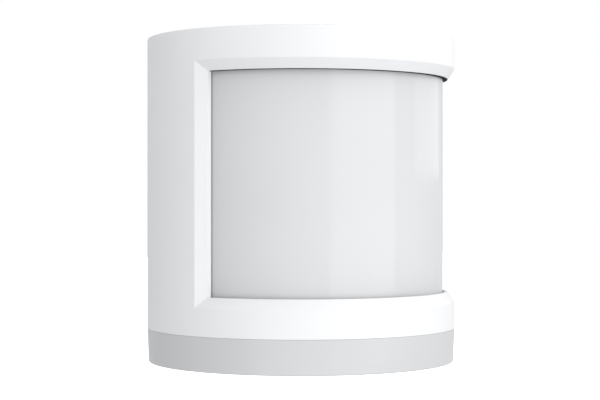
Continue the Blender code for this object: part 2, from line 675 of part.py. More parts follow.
def make_contact(name, side, nub_radius, steel, detector):
    """A sprung steel contact with a dimple to the cell, and a tail up to the board."""
    deep = (CELL_BEHIND_AXIS - CONTACT_HALF_WIDTH, CELL_BEHIND_AXIS + CONTACT_HALF_WIDTH)
    span = sorted((side * CONTACT_BACK, side * (CONTACT_BACK - CONTACT_THICKNESS)))
    tall = (CELL_Z - CONTACT_HALF_WIDTH, TRAY_LOW - CLEARANCE)
    contact = box(name, span, deep, tall)
    tail_depth = (-CLEARANCE - CONTACT_TAIL_WIDTH, -CLEARANCE)
    tail_height = (TRAY_LOW - CONTACT_HALF_WIDTH, TRAY_HIGH + CONTACT_TAIL_HEIGHT)
    add(contact, box(name + "_tail", span, tail_depth, tail_height))
    root = CONTACT_THICKNESS / 2
    reach = CONTACT_ROOM - CLEARANCE
    profile = [(nub_radius, root), (nub_radius, CONTACT_THICKNESS), (nub_radius / 2, reach)]
    place = (side * CONTACT_BACK, CELL_BEHIND_AXIS, CELL_Z)
    add(contact, turned(name + "_dimple", profile, place, axis="X" if side < 0 else "-X"))
    return dress(contact, steel, detector)


# ---- Board and what is on it ----


def make_main_board(green, detector):
    span = (-BOARD_HALF_WIDTH, BOARD_HALF_WIDTH)
    board = box("main_board", span, (0, BOARD_BACK), (BOARD_LOW, BOARD_HIGH))
    for i, height in enumerate(BOARD_HOLE_HEIGHTS):
        for side in (-1, 1):
            place = (side * BOARD_HOLE_X, -BOARD_THICKNESS, height)
            cut(board, screw_hole(f"board_hole_{side}_{i}", place, "Y", 3 * BOARD_THICKNESS))
    return dress(board, green, detector)


def make_pyro(steel, dark, black, detector):
    """The heat sensor: a metal can with a dark filter window, on a plastic holder."""
    middle = (0, 0, WINDOW_MIDDLE)
    profile = [(PYRO_HOLDER_RADIUS, CLEARANCE), (PYRO_HOLDER_RADIUS, CLEARANCE + PYRO_HOLDER_HEIGHT)]
    dress(turned("pyro_holder", profile, middle, axis="-Y"), black, detector)
    foot = PYRO_HOLDER_HEIGHT + 2 * CLEARANCE
    face = foot + PYRO_HEIGHT
    edge = EDGE_ROUND / 2
    profile = [(PYRO_RADIUS, foot), (PYRO_RADIUS, face - edge), (PYRO_RADIUS - edge, face)]
    can = turned("pyro_sensor", profile, middle, axis="-Y")
    half_width = FILTER_WIDTH / 2
    tall = (WINDOW_MIDDLE - FILTER_HEIGHT / 2, WINDOW_MIDDLE + FILTER_HEIGHT / 2)
    deep = (-face, -face + FILTER_THICKNESS)
    dress(box("pyro_window", (-half_width, half_width), deep, tall), dark, detector)
    wide = (-half_width - CLEARANCE, half_width + CLEARANCE)
    pocket = (deep[0] - WALL, deep[1] + CLEARANCE)
    cut(can, box("pyro_pocket", wide, pocket, (tall[0] - CLEARANCE, tall[1] + CLEARANCE)))
    dress(can, steel, detector)


def chip(name, x, height, width, length, thickness, material, detector, back=False):
    """A flat component on the front or on the back of the board."""
    if back:
        deep = (BOARD_BACK + CLEARANCE, BOARD_BACK + CLEARANCE + thickness)
    else:
        deep = (-CLEARANCE - thickness, -CLEARANCE)
    made = box(name, (x - width / 2, x + width / 2), deep, (height - length / 2, height + length / 2))
    return dress(made, material, detector)


def make_components(black, steel, clear, detector):
    high, low = WINDOW_MIDDLE + WINDOW_QUARTER, WINDOW_MIDDLE - WINDOW_QUARTER
    aside = BOARD_HALF_WIDTH / 2
    chip("microcontroller", aside, high, CHIP_WIDTH, CHIP_WIDTH, CHIP_THICKNESS, black, detector)
    crystal_height = high - CHIP_WIDTH / 2 - CRYSTAL_HEIGHT
    chip("crystal", aside, crystal_height, CRYSTAL_WIDTH, CRYSTAL_HEIGHT, CHIP_THICKNESS, steel, detector)
    under_posts = BOARD_HOLE_HEIGHTS[1] - CHASSIS_POST_RADIUS - CLEARANCE - SHIELD_HEIGHT / 2
    shield_size = (SHIELD_WIDTH, SHIELD_HEIGHT, SHIELD_DEPTH)
    chip("radio_shield", -aside, under_posts, *shield_size, steel, detector, back=True)
    edge = EDGE_ROUND / 2
    top = CLEARANCE + CAPACITOR_LENGTH
    profile = [(CAPACITOR_RADIUS, CLEARANCE), (CAPACITOR_RADIUS, top - edge), (CAPACITOR_RADIUS - edge, top)]
    for name, x in (("capacitor_left", -aside / 2), ("capacitor_right", aside / 2)):
        dress(turned(name, profile, (x, 0, low), axis="-Y"), black, detector)
    tip = CLEARANCE + LED_HEIGHT
    profile = [(LED_RADIUS, CLEARANCE), (LED_RADIUS, tip - LED_RADIUS)]
    for turn in (30, 60):
        angle = math.radians(turn)
        profile.append((LED_RADIUS * math.cos(angle), tip - LED_RADIUS + LED_RADIUS * math.sin(angle)))
    profile.append((LED_RADIUS / 4, tip))
    led_height = BOARD_HIGH - 2 * LED_HEIGHT
    dress(turned("status_led", profile, (0, 0, led_height), axis="-Y", sides=SCREW_SIDES), clear, detector)


def make_antenna(steel, detector):
    """A bent strip that stands off the board on two legs."""
    right = -BOARD_HOLE_FROM_SIDE
    left = right - ANTENNA_LENGTH
    high = BOARD_HIGH - ANTENNA_WIDTH
    tall = (high - ANTENNA_WIDTH, high)
    top = (-CLEARANCE - ANTENNA_HEIGHT, -CLEARANCE - ANTENNA_HEIGHT + ANTENNA_THICKNESS)
    antenna = box("antenna", (left, right), top, tall)
    for i, x in enumerate((left, right - ANTENNA_THICKNESS)):
        leg = box(f"antenna_leg_{i}", (x, x + ANTENNA_THICKNESS), (top[0], -CLEARANCE), tall)
        add(antenna, leg)
    return dress(antenna, steel, detector)


# ---- Switches ----


def stem_profile():
    return [(STEM_RADIUS, -STEM_IN), (STEM_RADIUS, STEM_OUT)]


def stem_hole(name, place, axis, travel):
    radius = STEM_RADIUS + CLEARANCE
    depth = STEM_IN + travel + CLEARANCE
    return turned(name, [(radius, -depth), (radius, STEM_OUT)], place, axis=axis, sides=SCREW_SIDES)


def make_tamper_switch(black, white, detector, plunger_slide):
    """A switch on the back of the board, pressed by a plunger that rests on the wall bracket."""
    half = TAMPER_SWITCH_HALF_WIDTH
    front = BOARD_BACK + CLEARANCE
    tall = (WINDOW_MIDDLE - half, WINDOW_MIDDLE + half)
    switch = box("tamper_switch", (-half, half), (front, TAMPER_SWITCH_BACK), tall)
    middle = (0, TAMPER_SWITCH_BACK, WINDOW_MIDDLE)
    cut(switch, stem_hole("tamper_stem_hole", middle, "Y", 0))
    dress(switch, black, detector)
    stem = turned("tamper_switch_stem", stem_profile(), middle, axis="Y", sides=SCREW_SIDES)
    dress(stem, white, plunger_slide)
    edge = EDGE_ROUND / 2
    length = BACK_FLAT - PLUNGER_FRONT
    profile = [
        (PLUNGER_RADIUS, 0),
        (PLUNGER_RADIUS, PLUNGER_COLLAR),
        (PLUNGER_COLLAR_RADIUS, PLUNGER_COLLAR),
        (PLUNGER_COLLAR_RADIUS, 2 * PLUNGER_COLLAR),
        (PLUNGER_RADIUS, 2 * PLUNGER_COLLAR),
        (PLUNGER_RADIUS, length - edge),
        (PLUNGER_RADIUS - edge, length),
    ]
    place = (0, PLUNGER_FRONT, WINDOW_MIDDLE)
    dress(turned("tamper_plunger", profile, place, axis="Y", sides=SCREW_SIDES), white, plunger_slide)


def make_pairing_switch(black, white, detector, button_slide):
    """A switch at the board's lower edge, pressed upwards by a button under the base cap."""
    half = PAIRING_SWITCH_HALF_WIDTH
    span = (PAIRING_X - half, PAIRING_X + half)
    deep = (-CLEARANCE - PAIRING_SWITCH_DEPTH, -CLEARANCE)
    switch = box("pairing_switch", span, deep, (PAIRING_SWITCH_LOW, PAIRING_SWITCH_HIGH))
    place = (PAIRING_X, PAIRING_Y, PAIRING_SWITCH_LOW)
    cut(switch, stem_hole("pairing_stem_hole", place, "-Z", PAIRING_TRAVEL))
    dress(switch, black, detector)
    stem_place = (PAIRING_X, PAIRING_Y, PAIRING_SWITCH_LOW - PAIRING_TRAVEL)
    stem = turned("pairing_switch_stem", stem_profile(), stem_place, axis="-Z", sides=SCREW_SIDES)
    dress(stem, white, button_slide)
    low = WALL + PAIRING_FOOT_ABOVE_FLOOR
    collar = TRAY_LOW - CLEARANCE - PAIRING_TRAVEL
    profile = [
        (PAIRING_FOOT_RADIUS, low),
        (PAIRING_FOOT_RADIUS, low + PAIRING_FOOT_HEIGHT),
        (PAIRING_BUTTON_RADIUS, low + PAIRING_FOOT_HEIGHT),
        (PAIRING_BUTTON_RADIUS, collar - PAIRING_FOOT_HEIGHT),
        (PAIRING_FOOT_RADIUS, collar - PAIRING_FOOT_HEIGHT),
        (PAIRING_FOOT_RADIUS, collar),
        (PAIRING_BUTTON_RADIUS, collar),
        (PAIRING_BUTTON_RADIUS, PAIRING_BUTTON_TOP),
    ]
    button = turned("pairing_button", profile, (PAIRING_X, PAIRING_Y, 0), sides=SCREW_SIDES)
    dress(button, white, button_slide)


# ---- Screws ----


def make_screw(name, place, axis, length, steel, detector):
    """A pan-head screw with a cross recess. Its head's seat is at the place given, its tip along the axis."""
    edge = EDGE_ROUND / 2
    profile = [
        (SCREW_HEAD_RADIUS - edge, -SCREW_HEAD_HEIGHT),
        (SCREW_HEAD_RADIUS, -SCREW_HEAD_HEIGHT + edge),
        (SCREW_HEAD_RADIUS, 0),
        (SCREW_RADIUS, 0),
        (SCREW_RADIUS, length - SCREW_RADIUS),
        (SCREW_RADIUS / 2, length),
    ]
    screw = turned(name, profile, place, axis=axis, sides=SCREW_SIDES)
    depth = (-2 * SCREW_HEAD_HEIGHT, -SCREW_HEAD_HEIGHT / 2)
    long, short = SCREW_SLOT_LENGTH / 2, SCREW_SLOT / 2
    for i, (x, y) in enumerate(((long, short), (short, long))):
        slot = box(f"{name}_slot_{i}", (-x, x), (-y, y), depth)
        slot.matrix_world = screw.matrix_world @ slot.matrix_basis
        cut(screw, slot)
    return dress(screw, steel, detector)


def make_screws(steel, detector):
    seat = BOARD_BACK + CLEARANCE
    board_length = seat + CHASSIS_POST_LENGTH - CHASSIS_RIB - 2 * CLEARANCE
    number = 0
    for height in BOARD_HOLE_HEIGHTS:
        for side in (-1, 1):
            number += 1
            place = (side * BOARD_HOLE_X, seat, height)
            make_screw(f"board_screw_{number}", place, "-Y", board_length, steel, detector)
    cover_seat = BACK_FLAT - CLEARANCE - SCREW_HEAD_HEIGHT
    cover_length = cover_seat - BOSS_BACK + BOSS_HOLE_LENGTH - CLEARANCE
    for i, (x, height) in enumerate(COVER_SCREWS):
        make_screw(f"cover_screw_{i + 1}", (x, cover_seat, height), "-Y", cover_length, steel, detector)
    tray_length = TRAY_PLATE + CLEARANCE + BOSS_RADIUS - 2 * CLEARANCE
    for i, side in enumerate((-1, 1)):
        place = (side * TRAY_SCREW_X, sum(TRAY_EAR) / 2, TRAY_HIGH + CLEARANCE)
        make_screw(f"tray_screw_{i + 1}", place, "-Z", tray_length, steel, detector)


def main():
    clear_scene()
    white = finish("satin_white_plastic", (0.86, 0.86, 0.87), 0.38)
    grey = finish("light_grey_plastic", (0.62, 0.62, 0.63), 0.42)
    milky = finish("milky_lens", (0.80, 0.80, 0.80), 0.25)
    foam = finish("black_foam", (0.03, 0.03, 0.03), 0.9)
    inner = finish("inner_grey_plastic", (0.30, 0.30, 0.31), 0.6)
    black = finish("black_plastic", (0.02, 0.02, 0.02), 0.5)
    green = finish("board_green", (0.02, 0.18, 0.07), 0.45)
    steel = finish("bright_steel", (0.62, 0.62, 0.60), 0.3, 1.0)
    dark = finish("dark_filter", (0.01, 0.01, 0.012), 0.15)
    clear = finish("led_resin", (0.75, 0.12, 0.08), 0.2)
    sleeve = finish("cell_sleeve", (0.10, 0.13, 0.30), 0.4)

    detector = carrier("detector_slide", (0, BACK_FLAT, WINDOW_MIDDLE))
    cap_slide = carrier("base_cap_slide", (0, 0, SEAM_HEIGHT), detector)
    plunger_slide = carrier("tamper_plunger_slide", (0, BACK_FLAT, WINDOW_MIDDLE), detector)
    button_slide = carrier("pairing_button_slide", (PAIRING_X, PAIRING_Y, TRAY_LOW), detector)

    make_wall_bracket(white)
    make_front_housing(white, detector)
    make_rear_cover(white, detector)
    make_base_cap(grey, cap_slide)
    make_lens(milky, detector)
    make_lens_gasket(foam, detector)
    make_chassis(inner, detector)
    make_battery_tray(inner, detector)
    make_battery(sleeve, detector)
    make_contact("contact_positive", -1, CELL_NUB_RADIUS, steel, detector)
    make_contact("contact_negative", 1, CONTACT_DIMPLE_RADIUS, steel, detector)
    make_main_board(green, detector)
    make_pyro(steel, dark, black, detector)
    make_components(black, steel, clear, detector)
    make_antenna(steel, detector)
    make_tamper_switch(black, white, detector, plunger_slide)
    make_pairing_switch(black, white, detector, button_slide)
    make_screws(steel, detector)


main()
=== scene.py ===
# %% [markdown]
# # Dressing a motion sensor
#
# The sensor is a short white cylinder with a flat back. A curved milky lens fills most of its front, and
# a light grey cap closes its foot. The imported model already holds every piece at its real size, so this
# script is about looks: fine meshes for what the eye rests on, and a procedural finish for everything.
# It could all be one pile of commands. It is cut into cells instead, each of which makes one thing and
# prints what it made, so that it can be read and rerun from top to bottom.

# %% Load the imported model
import json
import math

import bmesh
import bpy
from mathutils import Matrix, Vector

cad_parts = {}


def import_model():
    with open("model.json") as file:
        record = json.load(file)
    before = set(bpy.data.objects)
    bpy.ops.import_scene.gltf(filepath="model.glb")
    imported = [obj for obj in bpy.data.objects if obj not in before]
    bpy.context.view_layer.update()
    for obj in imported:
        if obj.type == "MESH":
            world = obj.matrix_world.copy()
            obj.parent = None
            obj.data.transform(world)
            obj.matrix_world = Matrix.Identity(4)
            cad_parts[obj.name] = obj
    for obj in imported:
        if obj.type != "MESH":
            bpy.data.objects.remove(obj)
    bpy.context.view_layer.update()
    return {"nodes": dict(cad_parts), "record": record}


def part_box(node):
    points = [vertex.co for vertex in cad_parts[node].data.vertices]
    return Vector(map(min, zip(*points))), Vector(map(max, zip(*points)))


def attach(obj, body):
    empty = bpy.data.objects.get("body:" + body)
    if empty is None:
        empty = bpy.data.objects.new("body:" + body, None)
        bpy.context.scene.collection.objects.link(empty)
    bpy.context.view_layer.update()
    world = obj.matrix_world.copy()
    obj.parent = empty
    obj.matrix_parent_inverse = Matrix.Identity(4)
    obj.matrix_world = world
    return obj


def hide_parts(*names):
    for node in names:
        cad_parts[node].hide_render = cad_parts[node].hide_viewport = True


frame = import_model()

# %% [markdown]
# ## Sizes
#
# Typing the sizes again would let the looks drift away from the construction. So the main ones are read
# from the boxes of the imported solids. What a box can't tell, such as the slope of the bevel round the
# window, is written here once, in metres.

# %% Sizes
shell_low, shell_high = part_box("front_housing")
lens_low, lens_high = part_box("lens")
cap_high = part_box("base_cap")[1]
cover_low, cover_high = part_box("rear_cover")
bracket_low, bracket_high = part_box("wall_bracket")

BODY_RADIUS = -shell_low.y
BODY_TOP = shell_high.z
BACK_FLAT = shell_high.y
WALL = 0.0024
GAP = 0.0003  # between pieces that seat on each other
CAP_TOP = shell_low.z - GAP
SEAM_LINE = 0.00004  # what shows of the gap between the casing and the cap
CASING_LOW = CAP_TOP + SEAM_LINE
INNER_RADIUS = BODY_RADIUS - WALL
COVER_FRONT = BACK_FLAT - WALL
CEILING = BODY_TOP - WALL
RIM_ROUND = 0.0003  # rounding of the casing's top edge and of the cap's bottom edge

LENS_RADIUS = -lens_low.y
LENS_OVERLAP = 0.0020  # how far the lens reaches behind the casing
LENS_THICKNESS = 0.0010

WINDOW_HALF_ANGLE = math.radians(70)
LENS_HALF_ANGLE = WINDOW_HALF_ANGLE + LENS_OVERLAP / LENS_RADIUS
WINDOW_LOW = lens_low.z + LENS_OVERLAP
WINDOW_HIGH = lens_high.z - LENS_OVERLAP
WINDOW_MIDDLE = (WINDOW_LOW + WINDOW_HIGH) / 2
BEVEL_RIM = 0.0023
BEVEL_SIDE = 0.0026
BEVEL_DEPTH = 0.00155
JAMB_DRAFT = math.radians(0.6)  # how much the opening narrows from the bevel to the lens

WELD = 0.000002  # points closer than this are one point
SHARP = math.radians(25)  # an edge that bends more than this is rounded
CREASE = math.radians(40)  # in a turned piece, an edge that bends more than this is shaded sharp
print(f"casing radius {BODY_RADIUS * 1000:.1f} mm, top {BODY_TOP * 1000:.1f} mm")
print(f"window {1000 * (WINDOW_HIGH - WINDOW_LOW):.1f} mm high, lens radius {LENS_RADIUS * 1000:.1f} mm")

# %% [markdown]
# ## Shader maths as Python
#
# Node graphs built by hand are long lists of new nodes and links. Here a small class wraps one output
# socket, and adding or multiplying two of them adds the Math node that does it. Every other node comes
# from one method, which takes the node's type, its settings, and the values or links of its sockets.
# A finish then reads like a recipe.


# %% Wires and finishes
class Wire:
    """One output socket of a graph. Sums and products of wires add Math nodes."""

    def __init__(self, graph, socket):
        self.graph = graph
        self.socket = socket

    def __add__(self, other):
        return self.graph.maths("ADD", self, other)

    def __mul__(self, other):
        return self.graph.maths("MULTIPLY", self, other)

    def __sub__(self, other):
        return self.graph.maths("SUBTRACT", self, other)

    def __rsub__(self, other):
        return self.graph.maths("SUBTRACT", other, self)

    def __gt__(self, other):
        return self.graph.maths("GREATER_THAN", self, other)

    __radd__ = __add__
    __rmul__ = __mul__

    def absolute(self):
        return self.graph.maths("ABSOLUTE", self)

    def modulo(self, step):
        return self.graph.maths("FLOORED_MODULO", self, step)

    def fades(self, reach):
        """1 at zero, and less and less over that reach."""
        return self.graph.maths("EXPONENT", self * (-1 / reach))


class Graph:
    """A node tree whose nodes are all made in the same way."""

    def __init__(self, owner):
        owner.use_nodes = True
        self.tree = owner.node_tree

    def plug(self, node, sockets):
        for key, value in sockets.items():
            if isinstance(value, Wire):
                self.tree.links.new(value.socket, node.inputs[key])
            else:
                node.inputs[key].default_value = value

    def node(self, kind, settings=None, sockets=None, out=0):
        """A node of that type: its settings first, then its sockets. Returns one of its outputs."""
        made = self.tree.nodes.new(kind)
        for key, value in (settings or {}).items():
            setattr(made, key, value)
        self.plug(made, sockets or {})
        return Wire(self, made.outputs[out])

    def maths(self, operation, *values):
        """A Math node."""
        return self.node("ShaderNodeMath", {"operation": operation}, dict(enumerate(values)))


class Finish(Graph):
    """A material with one Principled shader, whose sockets take numbers, colours or wires."""

    def __init__(self, name, **constants):
        self.material = bpy.data.materials.new(name)
        super().__init__(self.material)
        self.shader = self.tree.nodes["Principled BSDF"]
        self.wear(**constants)

    def place(self):
        """Where a point is on the piece, in metres."""
        return self.node("ShaderNodeTexCoord", out="Object")

    def along(self, axis):
        """How far along X, Y or Z a point is."""
        return self.node("ShaderNodeSeparateXYZ", sockets={"Vector": self.place()}, out=axis)

    def noise(self, grain, detail=2.0, stretch=(1, 1, 1)):
        """Cloudy noise whose spots are about grain metres wide, from 0 to 1."""
        scaled = {"Vector": self.place(), "Scale": stretch}
        vector = self.node("ShaderNodeMapping", sockets=scaled)
        sockets = {"Vector": vector, "Scale": 1 / grain, "Detail": detail}
        return self.node("ShaderNodeTexNoise", sockets=sockets, out="Fac")

    def blend(self, share, one, other):
        """From one colour to the other."""
        sockets = {"Factor": share, 6: one, 7: other}
        return self.node("ShaderNodeMix", {"data_type": "RGBA"}, sockets, out=2)

    def wear(self, **sockets):
        self.plug(self.shader, {key.replace("_", " "): value for key, value in sockets.items()})
        return self

    def bump(self, height, depth):
        """Raises the surface by up to depth metres where height is 1."""
        normal = self.node("ShaderNodeBump", sockets={"Height": height, "Distance": depth, "Strength": 1.0})
        return self.wear(Normal=normal)


def tint(red, green, blue):
    """An opaque colour."""
    return (red, green, blue, 1.0)


print("shader helpers ready")

# %% [markdown]
# ## Moulded plastic
#
# The casing, the cap and the inner parts are injection moulded. Their steel moulds are spark eroded,
# which leaves a skin of fine pits about a third of a millimetre across. That skin is what makes the
# shine satin. A flat roughness would do from far away, but it looks like card close by. So one function
# makes every moulded finish: fine pits as bump, slow clouds in the gloss, and hardly any in the colour.


# %% Moulded finishes
def moulded(name, colour, gloss, pits=0.000004, grain=0.00035):
    """Satin plastic. Gloss is its roughness, pits the depth of its skin."""
    finish = Finish(name, IOR=1.5)
    skin = finish.noise(grain, detail=3.0)
    clouds = finish.noise(0.011)
    darker = tint(*(0.975 * part for part in colour))
    finish.wear(Base_Color=finish.blend(clouds, darker, tint(*colour)))
    finish.wear(Roughness=gloss - 0.03 + clouds * 0.04 + skin * 0.03)
    return finish.bump(skin, pits).material


HOUSING_WHITE = moulded("housing_white", (0.835, 0.845, 0.86), 0.36)
BRACKET_WHITE = moulded("bracket_white", (0.80, 0.81, 0.825), 0.48, pits=0.000007)
CAP_GREY = moulded("cap_grey", (0.612, 0.617, 0.626), 0.32)
INNER_GREY = moulded("inner_grey", (0.30, 0.30, 0.31), 0.55, pits=0.000008)
BLACK_PLASTIC = moulded("black_plastic", (0.02, 0.02, 0.021), 0.5, pits=0.000005, grain=0.0002)
KEY_WHITE = moulded("key_white", (0.78, 0.78, 0.77), 0.4)
print("moulded finishes:", HOUSING_WHITE.name, CAP_GREY.name, INNER_GREY.name)

# %% [markdown]
# ## The lens plastic
#
# The lens is a thin sheet of milky polyethylene, polished on the outside. Light goes a little way in
# and comes back softened, and the polished face mirrors the lamps with sharp edges. Volume scattering
# would be slow and noisy for a sheet this thin, so a smooth dielectric over a light grey stands in for
# it. That grey is painted darker towards the window's edges: painted shade, for the shade that the
# recessed frame throws onto the sheet. A very shallow waviness bends the reflections, as on real moulded
# sheet.

# %% Lens finish
FRAME_PAINTED_SHADE = 0.14  # painted shade: how much darker the colour is painted right at the frame
SHADE_REACH = 0.0038  # how far into the window this fades away, from above and from below
SIDE_SHADE_REACH = 0.0022


# The lens finish: milky grey, with painted shade that darkens it towards the window's edges.
def milky():
    finish = Finish("lens_milky_painted_shade", IOR=1.5)
    swell = finish.noise(0.018, detail=1.0)
    fine = finish.noise(0.0012)
    up = finish.along("Z")
    from_side = -LENS_RADIUS * math.cos(WINDOW_HALF_ANGLE) - finish.along("Y")
    inwards = ((WINDOW_HIGH - up, SHADE_REACH), (up - WINDOW_LOW, SHADE_REACH), (from_side, SIDE_SHADE_REACH))
    # painted shade: the colour fades towards black near the frame at the top, the bottom and the sides
    shade = sum(distance.fades(reach) for distance, reach in inwards)
    milk = finish.blend(swell, tint(0.653, 0.661, 0.671), tint(0.681, 0.688, 0.698))
    finish.wear(Base_Color=finish.blend(shade * FRAME_PAINTED_SHADE, milk, tint(0, 0, 0)))
    finish.wear(Roughness=0.07 + fine * 0.03)
    return finish.bump(swell, 0.000012).material


LENS_MILKY_WITH_PAINTED_SHADE = milky()
print("lens finish:", LENS_MILKY_WITH_PAINTED_SHADE.name)

# %% [markdown]
# ## Metal, foam and board
#
# Inside there are tinned cans, nickel-plated contacts, zinc-plated screws, a foam gasket and a green
# circuit board. Metals get streaks along their rolling direction, foam gets cells from a Voronoi
# texture, and the board gets copper tracks under its green resist. Photographs of such surfaces could
# be mapped on, but formulas stay sharp at any distance and need no files.


# %% Metals
def metal(name, colour, gloss, stretch, grain=0.0004):
    """Rolled or drawn metal with streaks along one axis."""
    finish = Finish(name, Metallic=1.0)
    streaks = finish.noise(grain, detail=4.0, stretch=stretch)
    stains = finish.noise(0.004)
    darker = tint(*(0.86 * part for part in colour))
    finish.wear(Base_Color=finish.blend(stains, darker, tint(*colour)))
    finish.wear(Roughness=gloss - 0.06 + streaks * 0.12 + stains * 0.04)
    return finish.bump(streaks, 0.000002).material


CONTACT_STEEL = metal("contact_steel", (0.66, 0.65, 0.62), 0.28, (1, 1, 0.08))
CAN_METAL = metal("can_metal", (0.70, 0.69, 0.66), 0.30, (0.08, 1, 1))
SCREW_STEEL = metal("screw_steel", (0.62, 0.63, 0.62), 0.32, (1, 1, 1), grain=0.00025)
print("metal finishes:", CONTACT_STEEL.name, CAN_METAL.name, SCREW_STEEL.name)


# %% Foam, filter, resin and sleeve
def foam():
    finish = Finish("gasket_foam", IOR=1.45, Specular_IOR_Level=0.2)
    cells = finish.node("ShaderNodeTexVoronoi", sockets={"Vector": finish.place(), "Scale": 2600})
    finish.wear(Base_Color=finish.blend(cells, tint(0.012, 0.012, 0.012), tint(0.04, 0.04, 0.041)))
    finish.wear(Roughness=0.85 + cells * 0.1)
    return finish.bump(1 - cells, 0.00008).material


def glossy(name, colour, gloss, **constants):
    """Polished plastic or resin with faint flow marks."""
    finish = Finish(name, **constants)
    flow = finish.noise(0.0015)
    lighter = tint(*(min(1.0, 1.15 * part) for part in colour))
    finish.wear(Base_Color=finish.blend(flow, tint(*colour), lighter), Roughness=gloss + flow * 0.04)
    return finish.bump(flow, 0.000003).material


# black foam for the real lens gasket, and also for the painted shadow strip above the lens
GASKET_FOAM_AND_PAINTED_SHADOW = foam()
DARK_FILTER = glossy("dark_filter", (0.012, 0.010, 0.014), 0.06, IOR=1.9)
LED_RESIN = glossy("led_resin", (0.62, 0.05, 0.03), 0.08, IOR=1.5, Transmission_Weight=0.35)
CELL_SLEEVE = glossy("cell_sleeve", (0.055, 0.085, 0.19), 0.24, IOR=1.5)
print("other finishes:", GASKET_FOAM_AND_PAINTED_SHADOW.name, DARK_FILTER.name, LED_RESIN.name, CELL_SLEEVE.name)


# %% Circuit board
def board():
    """Copper tracks show through green resist as lighter lines. They run upright here, level there."""
    finish = Finish("board_green", IOR=1.5)
    pitch, width = 0.00127, 0.00022
    across = finish.along("X").modulo(pitch) - pitch / 2
    up = finish.along("Z").modulo(pitch) - pitch / 2
    routed = finish.noise(0.0065, detail=0.0)
    upright = width - across.absolute() > 0.0
    level = width - up.absolute() > 0.0
    choose = routed > 0.5
    copper = upright * choose + level * (1 - choose)
    green = finish.blend(copper, tint(0.010, 0.110, 0.045), tint(0.030, 0.210, 0.085))
    finish.wear(Base_Color=green, Roughness=0.34 - copper * 0.06)
    return finish.bump(copper, 0.00003).material


BOARD_GREEN = board()
print("board finish:", BOARD_GREEN.name)

# %% [markdown]
# ## Meshes row by row
#
# The casing could be a cylinder with the window cut out by a Boolean, as in the construction. A Boolean
# leaves long thin faces at the cut, though, and the soft edge that every moulded part has needs clean
# faces to roll over. So the visible pieces are knitted from rows of points instead. One net collects
# the faces, points that fall together are welded, and a Bevel modifier rounds what is sharp.


# %% Net, arcs and pieces
class Net:
    """The faces of one closed piece."""

    def __init__(self):
        self.work = bmesh.new()

    def face(self, points):
        self.work.faces.new([self.work.verts.new(point) for point in points])

    def strip(self, one, other, closed=False):
        """Quads between two rows with as many points."""
        for i in range(len(one) - (0 if closed else 1)):
            j = (i + 1) % len(one)
            self.face([one[i], one[j], other[j], other[i]])

    def loft(self, rows):
        """Closed rows joined in order, with a flat face at both ends."""
        for one, other in zip(rows, rows[1:]):
            self.strip(one, other, closed=True)
        self.face(rows[0])
        self.face(rows[-1])

    def mesh(self, name, rounding_at=None):
        """Welds the points. rounding_at tells how much a sharp edge is rounded at a place, from 0 to 1."""
        bmesh.ops.remove_doubles(self.work, verts=self.work.verts, dist=WELD)
        bmesh.ops.recalc_face_normals(self.work, faces=self.work.faces)
        if rounding_at:
            share = self.work.edges.layers.float.new("bevel_weight_edge")
            for edge in self.work.edges:
                if edge.calc_face_angle(0) > SHARP:
                    edge[share] = rounding_at((edge.verts[0].co + edge.verts[1].co) / 2)
        made = bpy.data.meshes.new(name)
        self.work.to_mesh(made)
        self.work.free()
        made.shade_smooth()
        return made


def thing(name, mesh):
    made = bpy.data.objects.new(name, mesh)
    bpy.context.scene.collection.objects.link(made)
    return made


def soften(made, width=0.00015, segments=3):
    """Rounds the sharp edges: as the net says, or else all of them alike."""
    step = made.modifiers.new("soft_edges", "BEVEL")
    step.limit_method = "WEIGHT" if "bevel_weight_edge" in made.data.attributes else "ANGLE"
    step.angle_limit = SHARP
    step.width = width
    step.segments = segments
    step.harden_normals = True
    step.use_clamp_overlap = True
    return made


def settle(made):
    """Turns what the modifiers make into the mesh itself."""
    seen = made.evaluated_get(bpy.context.evaluated_depsgraph_get())
    mesh = bpy.data.meshes.new_from_object(seen)
    made.modifiers.clear()
    made.data = mesh
    return made


def combine(made, operation, helpers):
    """Adds or takes away other shapes, which are gone afterwards."""
    for helper in helpers:
        step = made.modifiers.new(helper.name, "BOOLEAN")
        step.operation = operation
        step.object = helper
        step.solver = "EXACT"
    settle(made)
    for helper in helpers:
        bpy.data.objects.remove(helper)
    made.data.shade_smooth()
    return made


def dress(made, material, body, replaces=()):
    """Gives a piece its finish, and the body that it moves with."""
    made.data.materials.clear()
    made.data.materials.append(material)
    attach(made, body)
    if replaces:
        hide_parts(*replaces)
    size = made.dimensions * 1000
    print(f"{made.name}: {size.x:.1f} x {size.y:.1f} x {size.z:.1f} mm, {len(made.data.polygons)} faces")
    return made


def on_arc(radius, angle, height):
    """A point at an angle from the front, turning towards +X."""
    return Vector((radius * math.sin(angle), -radius * math.cos(angle), height))


SIDE_STEPS, WINDOW_STEPS = 32, 84


def spread(half_angle, steps):
    """Angles from one side of the front to the other."""
    return [half_angle * (2 * i / steps - 1) for i in range(steps + 1)]


def columns(end, window):
    """Angles from one end of the flat back to the other, with the same count whatever the angles."""
    sides = [window + (end - window) * i / SIDE_STEPS for i in range(1, SIDE_STEPS + 1)]
    return [-angle for angle in reversed(sides)] + spread(window, WINDOW_STEPS) + sides


def d_row(inset, window, height):
    """The casing's outline at one height: most of a circle, cut straight at the back."""
    end = math.acos(-(BACK_FLAT - inset) / (BODY_RADIUS - inset))
    return [on_arc(BODY_RADIUS - inset, angle, height) for angle in columns(end, window)]


def rounding(size, steps=6):
    """(inset, rise) along a quarter round, from upright to flat."""
    turns = [math.pi / 2 * i / steps for i in range(steps + 1)]
    return [(size * (1 - math.cos(turn)), size * math.sin(turn)) for turn in turns]


SEAM_ROUNDING = 0.2  # share of the usual rounding


def crisp_seam(place):
    """Casing and cap meet in crisp edges, so that they look like one shape in two colours."""
    return SEAM_ROUNDING if abs(place.z - CAP_TOP) < GAP else 1.0


print("columns round the casing:", len(columns(2.0, 1.0)))

